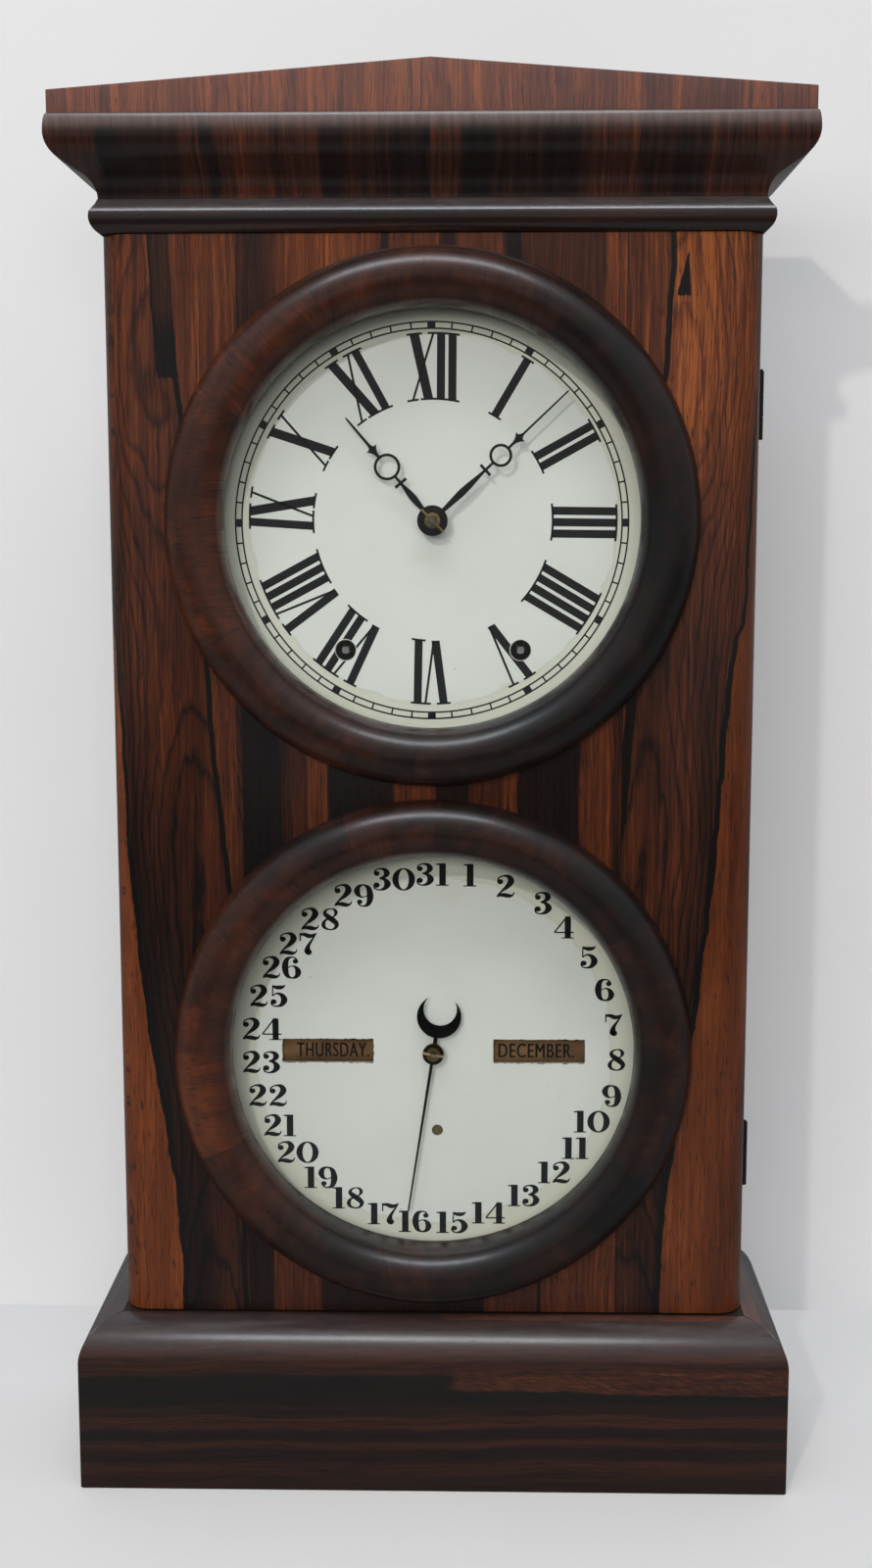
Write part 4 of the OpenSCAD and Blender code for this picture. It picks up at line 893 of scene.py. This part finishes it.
# How far a serif reaches past a thin stroke and a thick one
THIN_REACH = 2.2
THICK_REACH = 1.5
HOLES = [(-WINDING[0], WINDING[1]), WINDING]
# The paint has chipped away a little round each winding hole, and the hole's edge is bare
CHIPPED = 5.5
RIM = (5.02, 5.25)
# Each letter's half width, and its strokes as (place at the top, place at the bottom, width)
LETTERS = {
    "I": (2.8, [(0, 0, THICK)]),
    "V": (6.0, [(-4.3, 0.4, THICK), (4.9, 1.3, THIN)]),
    "X": (6.4, [(-4.0, 3.2, THICK + 0.5), (5.4, -4.4, THIN)]),
}


def numeral(sheet, text, angle):
    """A roman numeral that stands on the inner circle at an angle clockwise from the top."""
    a = radians(angle)
    levels = 60
    # The winding hole that the numeral meets, or a place far from it
    hole = (50, 0)
    for hx, hz in HOLES:
        beside, out = hx * cos(a) - hz * sin(a), hx * sin(a) + hz * cos(a)
        if abs(beside) < 20 and out > 0:
            hole = (beside, out)

    def turned(x, r):
        return (x * cos(a) + r * sin(a), r * cos(a) - x * sin(a))

    def point(x, share):
        """A point whose height is a share of the way from the outer circle to the inner."""
        ends = [sqrt(radius * radius - x * x) for radius in (TALL_OUT, TALL_IN)]
        return turned(x, ends[0] + (ends[1] - ends[0]) * share)

    at = -sum(LETTERS[c][0] for c in text)
    feet, heads = [], []
    for c in text:
        half, strokes = LETTERS[c]
        at += half
        for top, low, wide in strokes:
            h = wide / 2 * hypot(1, (top - low) / (TALL_OUT - TALL_IN))
            sides = [[], []], [[], []]
            for i in range(levels + 1):
                share = i / levels
                x = at + top + (low - top) * share
                rise = TALL_OUT + (TALL_IN - TALL_OUT) * share - hole[1]
                bite = sqrt(max(0, CHIPPED * CHIPPED - rise * rise))
                spans = (x - h, min(x + h, hole[0] - bite)), (max(x - h, hole[0] + bite), x + h)
                for lines, (left, right) in zip(sides, spans):
                    right = max(left, right)
                    lines[0].append(point(left, share))
                    lines[1].append(point(right, share))
            for lines in sides:
                sheet.band(*lines)
            reach = THIN_REACH if wide == THIN else THICK_REACH
            heads.append((at + top - h - reach, at + top + h + reach))
            if c != "V":
                feet.append((at + low - h - reach, at + low + h + reach))
        at += half
    for radius, spans in ((TALL_OUT, heads), (TALL_IN, feet)):
        joined = []
        for low, high in sorted(spans):
            if joined and low <= joined[-1][1] + 0.2:
                joined[-1][1] = max(high, joined[-1][1])
            else:
                joined.append([low, high])
        for span in joined:
            start, stop = (degrees(asin(v / radius)) for v in span)
            ring_band(sheet, radius - SERIF, radius + SERIF, angle + start, angle + stop, 6)


hours = Sheet(UPPER)
for hour, text in enumerate(NUMERALS):
    numeral(hours, text, hour * 30 + LATE[hour])
hours.make("hour_numerals")
rims = Sheet(UPPER)
for spot in HOLES:
    ring_band(rims, *RIM, count=40, centre=spot)
rims.make("hole_rims", "brass")


# Figures of the calendar in hundredths of their height: width, strokes of (x, y, width) and round ends of
# (x, y, radius). The nought is drawn apart.
WIDE = 1.16
DATE_TALL = 11.6
GAP = 0.5
FIGURES = {
    "1": (50, [
        [(27, 100, 25), (27, 0, 25)],
        [(2, 2.5, 5), (50, 2.5, 5)],
        [(2, 95.5, 5), (20, 95.5, 9)],
    ], []),
    "2": (74, [
        [(8.5, 72, 5), (12, 87, 6), (30, 96.5, 7), (50, 93, 17), (58.5, 74, 24), (47, 52, 19), (25, 30, 9),
         (8, 10, 6)],
        [(5, 4, 5), (20, 12, 14), (36, 11, 19), (53, 8, 16), (66, 13, 7), (70, 25, 3.5)],
    ], [(17.5, 71, 11.5)]),
    "3": (72, [
        [(8, 77, 5), (12, 90, 6), (30, 97, 7), (48, 92, 16), (55, 77, 23), (46, 62, 14), (27, 54.5, 5)],
        [(27, 54.5, 5), (47, 49, 14), (57.5, 29, 25), (47, 10, 16), (28, 3, 7), (11, 8, 6), (6, 22, 5)],
    ], [(17, 76, 11), (16.5, 24, 12)]),
    "4": (78, [
        [(53, 99, 12), (53, 88, 23), (53, 0, 23)],
        [(50, 99, 6), (3, 28, 6)],
        [(2, 27, 6), (76, 27, 6)],
        [(30, 2.5, 5), (76, 2.5, 5)],
    ], []),
    "5": (72, [
        [(14, 99, 3), (20, 92, 12), (34, 88, 18), (50, 90, 15), (62, 99, 3)],
        [(14.5, 99, 5), (13, 50, 5)],
        [(13, 49, 5), (28, 61, 7), (48, 54, 17), (57.5, 32, 25), (47, 10, 16), (28, 3, 7), (12, 8, 6),
         (7, 21, 6)],
    ], [(17, 23.5, 11.5)]),
    "6": (76, [
        [(60, 80, 5), (53, 92, 6), (38, 97, 7), (20, 86, 18), (13, 52, 25), (20, 16, 18), (38, 3, 7),
         (56, 10, 16), (63, 30, 23), (55, 50, 14), (40, 57, 5), (24, 50, 5)],
    ], [(53, 78, 10.5)]),
    "7": (72, [
        [(5, 84, 4), (10, 92, 10), (24, 92, 16), (40, 85, 19), (56, 89, 13), (68, 99, 3)],
        [(6, 100, 5), (6, 62, 5)],
        [(66, 96, 5), (51, 68, 8), (37, 42, 14), (33, 20, 24), (37, 10, 22)],
    ], [(37, 13, 13)]),
    "8": (76, [
        [(22, 91, 9), (16.5, 76, 15), (30, 60, 22), (48, 45, 23), (61, 28, 18), (55, 10, 11), (38, 3, 6),
         (18, 10, 11), (11, 26, 16), (18, 44, 10), (37, 55, 6), (52, 64, 7), (59, 79, 14), (53, 93, 10),
         (38, 97, 5), (22, 91, 9)],
    ], []),
    "0": (86, [], []),
}
# The half width and half height of the nought's outer and inner edge
NOUGHT = ((43, 50), (19, 44))
# The nine is the six turned over
FIGURES["9"] = FIGURES["6"]


def smooth_line(points, steps=7):
    """Points on a smooth line through the given ones, with their widths."""
    if len(points) == 2:
        return points
    padded = [points[0], *points, points[-1]]
    result = []
    for p0, p1, p2, p3 in zip(padded, padded[1:], padded[2:], padded[3:]):
        for i in range(steps):
            t = i / steps
            result.append(tuple(
                0.5 * (2 * b + (c - a) * t + (2 * a - 5 * b + 4 * c - d) * t * t
                       + (3 * b - a - 3 * c + d) * t ** 3)
                for a, b, c, d in zip(p0, p1, p2, p3)
            ))
    return [*result, points[-1]]


def stroke(sheet, points, fit):
    """A ribbon along points of (x, y, width), placed by fit."""
    line = smooth_line(points)
    left, right = [], []
    for i, (x, y, width) in enumerate(line):
        before, after = line[max(i - 1, 0)], line[min(i + 1, len(line) - 1)]
        dx, dy = after[0] - before[0], after[1] - before[1]
        size = hypot(dx, dy) or 1
        nx, ny = -dy / size * width / 2, dx / size * width / 2
        left.append(fit(x + nx, y + ny))
        right.append(fit(x - nx, y - ny))
    sheet.band(left, right)


def figure(sheet, digit, x, y):
    """Draws one figure with its lower left corner at x, y and returns its width."""
    width, strokes, ends = FIGURES[digit]

    def fit(u, v):
        if digit == "9":
            u, v = width - u, 100 - v
        return (x + u * DATE_TALL * WIDE / 100, y + v * DATE_TALL / 100)

    for points in strokes:
        stroke(sheet, points, fit)
    for u, v, r in ends:
        sheet.outline([fit(*p) for p in circle_points(r, 20, centre=(u, v))])
    if digit == "0":
        spots = [radians(6 * i) for i in range(60)]
        half_wide, half_tall = NOUGHT[0]
        sheet.band(*(
            [fit(half_wide + wide * sin(a), half_tall + tall * cos(a)) for a in spots]
            for wide, tall in NOUGHT
        ), True)
    return width * DATE_TALL * WIDE / 100


# The middles of the dates of one figure and of two, which stand further in towards the dial's sides
SHORT_AT = 93.8
LONG_AT = 92.2
TUCK = 4.3
# The sign painter spread the dates on two parts of the circle: the middle and the most, in degrees
SPREADS = [(137, 4.4), (320, 4.7)]
SPREAD_OVER = 17
# The painter's other unevenness, as millimetres right and up, where it isn't the usual one
USUAL = (-0.4, 0)
UNEVEN = {
    3: (2.1, 0.6), 4: (-1.4, 0.5), 8: (0.5, 0.6), 9: (0.8, 0), 10: (1.6, 0.5), 11: (0, -1.1),
    12: (-0.6, -1.3), 13: (0.1, 0), 14: (0.6, 0.1), 15: (0.3, -0.4), 17: (1.1, -0.5), 21: (-0.5, -1.1),
    22: (-0.5, -2), 23: (-1.1, -1.9), 24: (-1.4, -2.1), 25: (-1.9, -1.6), 26: (-1.5, -1.2),
    27: (-0.6, -0.5), 28: (-1.2, -0.5), 29: (-2.5, -0.7), 30: (-1.3, 0.3), 31: (-0.6, 0),
}
days = Sheet(DATES)
for day in range(1, 32):
    a = day * 360 / 31
    a = radians(a - sum(most * exp(-(((a - at) / SPREAD_OVER) ** 2)) for at, most in SPREADS))
    text = str(day)
    radius = SHORT_AT if day < 10 else LONG_AT - TUCK * abs(sin(a))
    right, up = UNEVEN.get(day, USUAL)
    width = sum(FIGURES[c][0] for c in text) * DATE_TALL * WIDE / 100 + GAP * (len(text) - 1)
    x = radius * sin(a) - width / 2 + right
    for c in text:
        x += figure(days, c, x, radius * cos(a) - DATE_TALL / 2 + up) + GAP
days.make("date_numerals")

# Ragged cut edges round the two windows
WINDOW_IN = 31.0
WINDOW_OUT = 77.6
WINDOW_TALL = 12.0
chance = random.Random(5)


def frayed(side, most):
    """How far a cut edge strays to its side."""
    return side * (0.12 + chance.random() ** 3 * most)


edges = Sheet(DATES)
for left in (-WINDOW_OUT, WINDOW_IN):
    for side in (-1, 1):
        marks = [left + (WINDOW_OUT - WINDOW_IN) * i / 40 for i in range(41)]
        z = side * WINDOW_TALL / 2
        edges.band([(x, z) for x in marks], [(x, z + frayed(side, 0.5)) for x in marks])
    for x, side in ((left, -1), (left + WINDOW_OUT - WINDOW_IN, 1)):
        marks = [WINDOW_TALL * (i / 10 - 0.5) for i in range(11)]
        edges.band([(x, z) for z in marks], [(x + frayed(side, 0.4), z) for z in marks])
edges.make("window_edges")


# Names printed round the rollers

NAME_TALL = 7.4
# The longest that a name may be
NAME_WIDE = 42
# How far the print stands off the paper, and the space between letters
PAPER_GAP = 0.02
SPACING = 1.12
# How far each copy of a letter stands beside the first, in the letters' own units
BOLD = 0.028


def printed(word):
    """A word in the plain built-in letters: three flat prints side by side."""
    curve = bpy.data.curves.new("word", "FONT")
    curve.body = word
    curve.space_character = SPACING
    thing = bpy.data.objects.new("word", curve)
    COLLECTION.objects.link(thing)
    bpy.context.view_layer.update()
    mesh = bpy.data.meshes.new_from_object(thing.evaluated_get(bpy.context.evaluated_depsgraph_get()))
    bpy.data.objects.remove(thing)
    bpy.data.curves.remove(curve)
    part = bmesh.new()
    for shift in (-BOLD, 0, BOLD):
        before = len(part.verts)
        part.from_mesh(mesh)
        part.verts.ensure_lookup_table()
        for v in part.verts[before:]:
            v.co.x += shift
    bpy.data.meshes.remove(mesh)
    return part


def name_roller(name, body, words, centre_x, first_wide):
    """Words round a roller: the first at the front, and each next one above the last."""
    low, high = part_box(body + "_roller")
    axis_y = (low.y + high.y) / 2
    axis_z = (low.z + high.z) / 2
    radius = (high.z - low.z) / 2 + PAPER_GAP * MM
    shape = bmesh.new()
    stretch = None
    for number, word in enumerate(words):
        part = printed(word + ".")
        xs = [v.co.x for v in part.verts]
        wide = max(xs) - min(xs)
        stretch = stretch or first_wide / wide
        factor = min(stretch, NAME_WIDE / wide)
        middle = (max(xs) + min(xs)) / 2
        cap = max(v.co.y for v in part.verts)
        for step in range(1, 10):
            bmesh.ops.bisect_plane(
                part, geom=part.verts[:] + part.edges[:] + part.faces[:], plane_co=(0, cap * step / 10, 0),
                plane_no=(0, 1, 0)
            )
        for v in part.verts:
            turned = 2 * pi * number / len(words) + (v.co.y / cap - 0.5) * NAME_TALL * MM / radius
            v.co = (
                (centre_x + (v.co.x - middle) * factor) * MM,
                axis_y - radius * cos(turned),
                axis_z + radius * sin(turned),
            )
        done = mesh_of("word", part)
        shape.from_mesh(done)
        bpy.data.meshes.remove(done)

    def outwards(at):
        away = Vector((0, at.y - axis_y, at.z - axis_z)).normalized()
        return at + away * PRINT_THICK * MM

    fill_out(name, body, shape, outwards, "print")


WEEK = "THURSDAY FRIDAY SATURDAY SUNDAY MONDAY TUESDAY WEDNESDAY".split()
YEAR = "DECEMBER JANUARY FEBRUARY MARCH APRIL MAY JUNE JULY AUGUST SEPTEMBER OCTOBER NOVEMBER".split()
name_roller("day_names", "day", WEEK, centre_x=-51.8, first_wide=37.4)
name_roller("month_names", "month", YEAR, centre_x=52.9, first_wide=39.1)


# Floor and wall, which aren't part of the object


def stage_material(name, colour, glow, one_sided):
    """Pale paint, which the camera sees lit a little from within."""
    net, x, y, z = begin(name)
    cloud = net.noise(x * 0.004, y * 0.004, z * 0.004, 3)
    tint = net.blend(cloud, tuple(c * 0.97 for c in colour), tuple(c * 1.03 for c in colour))
    near = net.step(y, -900, -500)
    # Colour, metallic and roughness
    shader = net.fed("BsdfPrincipled", tint, 0, 0.75)
    path = net.add("LightPath")
    bounced = net.blend(near, (0.05, 0.05, 0.05), tint)
    mirrored = Value(net, path.outputs["Is Glossy Ray"])
    dim = net.fed("BsdfDiffuse", net.blend(mirrored * 0.7, bounced, (0.02, 0.02, 0.02)))
    both = net.fed("AddShader", shader, net.fed("Emission", glow))
    last = net.mix(path.outputs["Is Camera Ray"], dim, both)
    if one_sided:
        last = net.mix(net.add("NewGeometry").outputs["Backfacing"], last, net.fed("BsdfTransparent"))
    return net.end(last)


def sheet_of(name, corners, material):
    """A flat sheet of the stage."""
    mesh = bpy.data.meshes.new(name)
    mesh.from_pydata(corners, [], [tuple(range(len(corners)))])
    thing = put(name, mesh, material)
    thing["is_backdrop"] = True
    return thing


WALL_Y = 0.167
WALL_HALF = 2
FLOOR_HALF = 4
sheet_of(
    "floor", [(x * FLOOR_HALF, y * FLOOR_HALF, 0) for x, y in ((-1, -1), (1, -1), (1, 1), (-1, 1))],
    stage_material("floor", (0.775, 0.765, 0.755), (0.16, 0.155, 0.15), False),
)
wall = sheet_of(
    "wall", [(x * WALL_HALF, WALL_Y, z) for x, z in ((-1, 0), (1, 0), (1, 2), (-1, 2))],
    stage_material("wall", (0.79, 0.79, 0.79), (0.07, 0.07, 0.074), True),
)
wall.visible_diffuse = False
wall.visible_shadow = False
wall.visible_glossy = False


# Light

SCENE.world = bpy.data.worlds.new("world")
sky = Net(SCENE.world)
seen = sky.fed("Background", (0.72, 0.73, 0.76))
upward = sky.split("Generated")[2]
given = sky.fed("Background", sky.ramp(upward, [(0.2, 0.26), (0.75, (0.48, 0.51, 0.56))], "EASE"))
sky.end(sky.mix(sky.add("LightPath").outputs["Is Camera Ray"], given, seen), "OutputWorld")


def lamp(name, power, size, place, target, colour, tall=None):
    """A lamp that faces its target, square or with a height of its own."""
    data = bpy.data.lights.new(name, "AREA")
    data.energy = power
    data.size = size
    data.color = colour
    if tall:
        data.shape = "RECTANGLE"
        data.size_y = tall
    thing = bpy.data.objects.new(name, data)
    thing.location = place
    thing.rotation_mode = "QUATERNION"
    thing.rotation_quaternion = (Vector(target) - Vector(place)).to_track_quat("-Z", "Y")
    thing.visible_transmission = False
    COLLECTION.objects.link(thing)
    return thing


key_lamp = lamp("key", 10, 0.06, (-0.54, -2.0, 1.35), (0, 0, 0.4), (1, 0.97, 0.93))
front_lamp = lamp("front", 24, 1.8, (-0.3, -2.5, 0.9), (0, 0, 0.45), (1, 0.98, 0.96), 0.6)
lamp("ceiling", 8, 1.4, (-0.1, -1.0, 2.2), (0, 0, 0.3), (0.96, 0.98, 1), 0.5)
gleam = lamp("gleam", 13, 1.4, (-0.1, -1.0, 2.19), (0, 0, 0.3), (0.86, 0.94, 1), 0.5)
# The first two light the dials and the wood without a shine, and the last only adds to the ceiling's shine
key_lamp.visible_glossy = False
front_lamp.visible_glossy = False
gleam.visible_diffuse = False


size = [[list(map(float, corner)) for corner in box] for box in (CAD_BOX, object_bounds())]
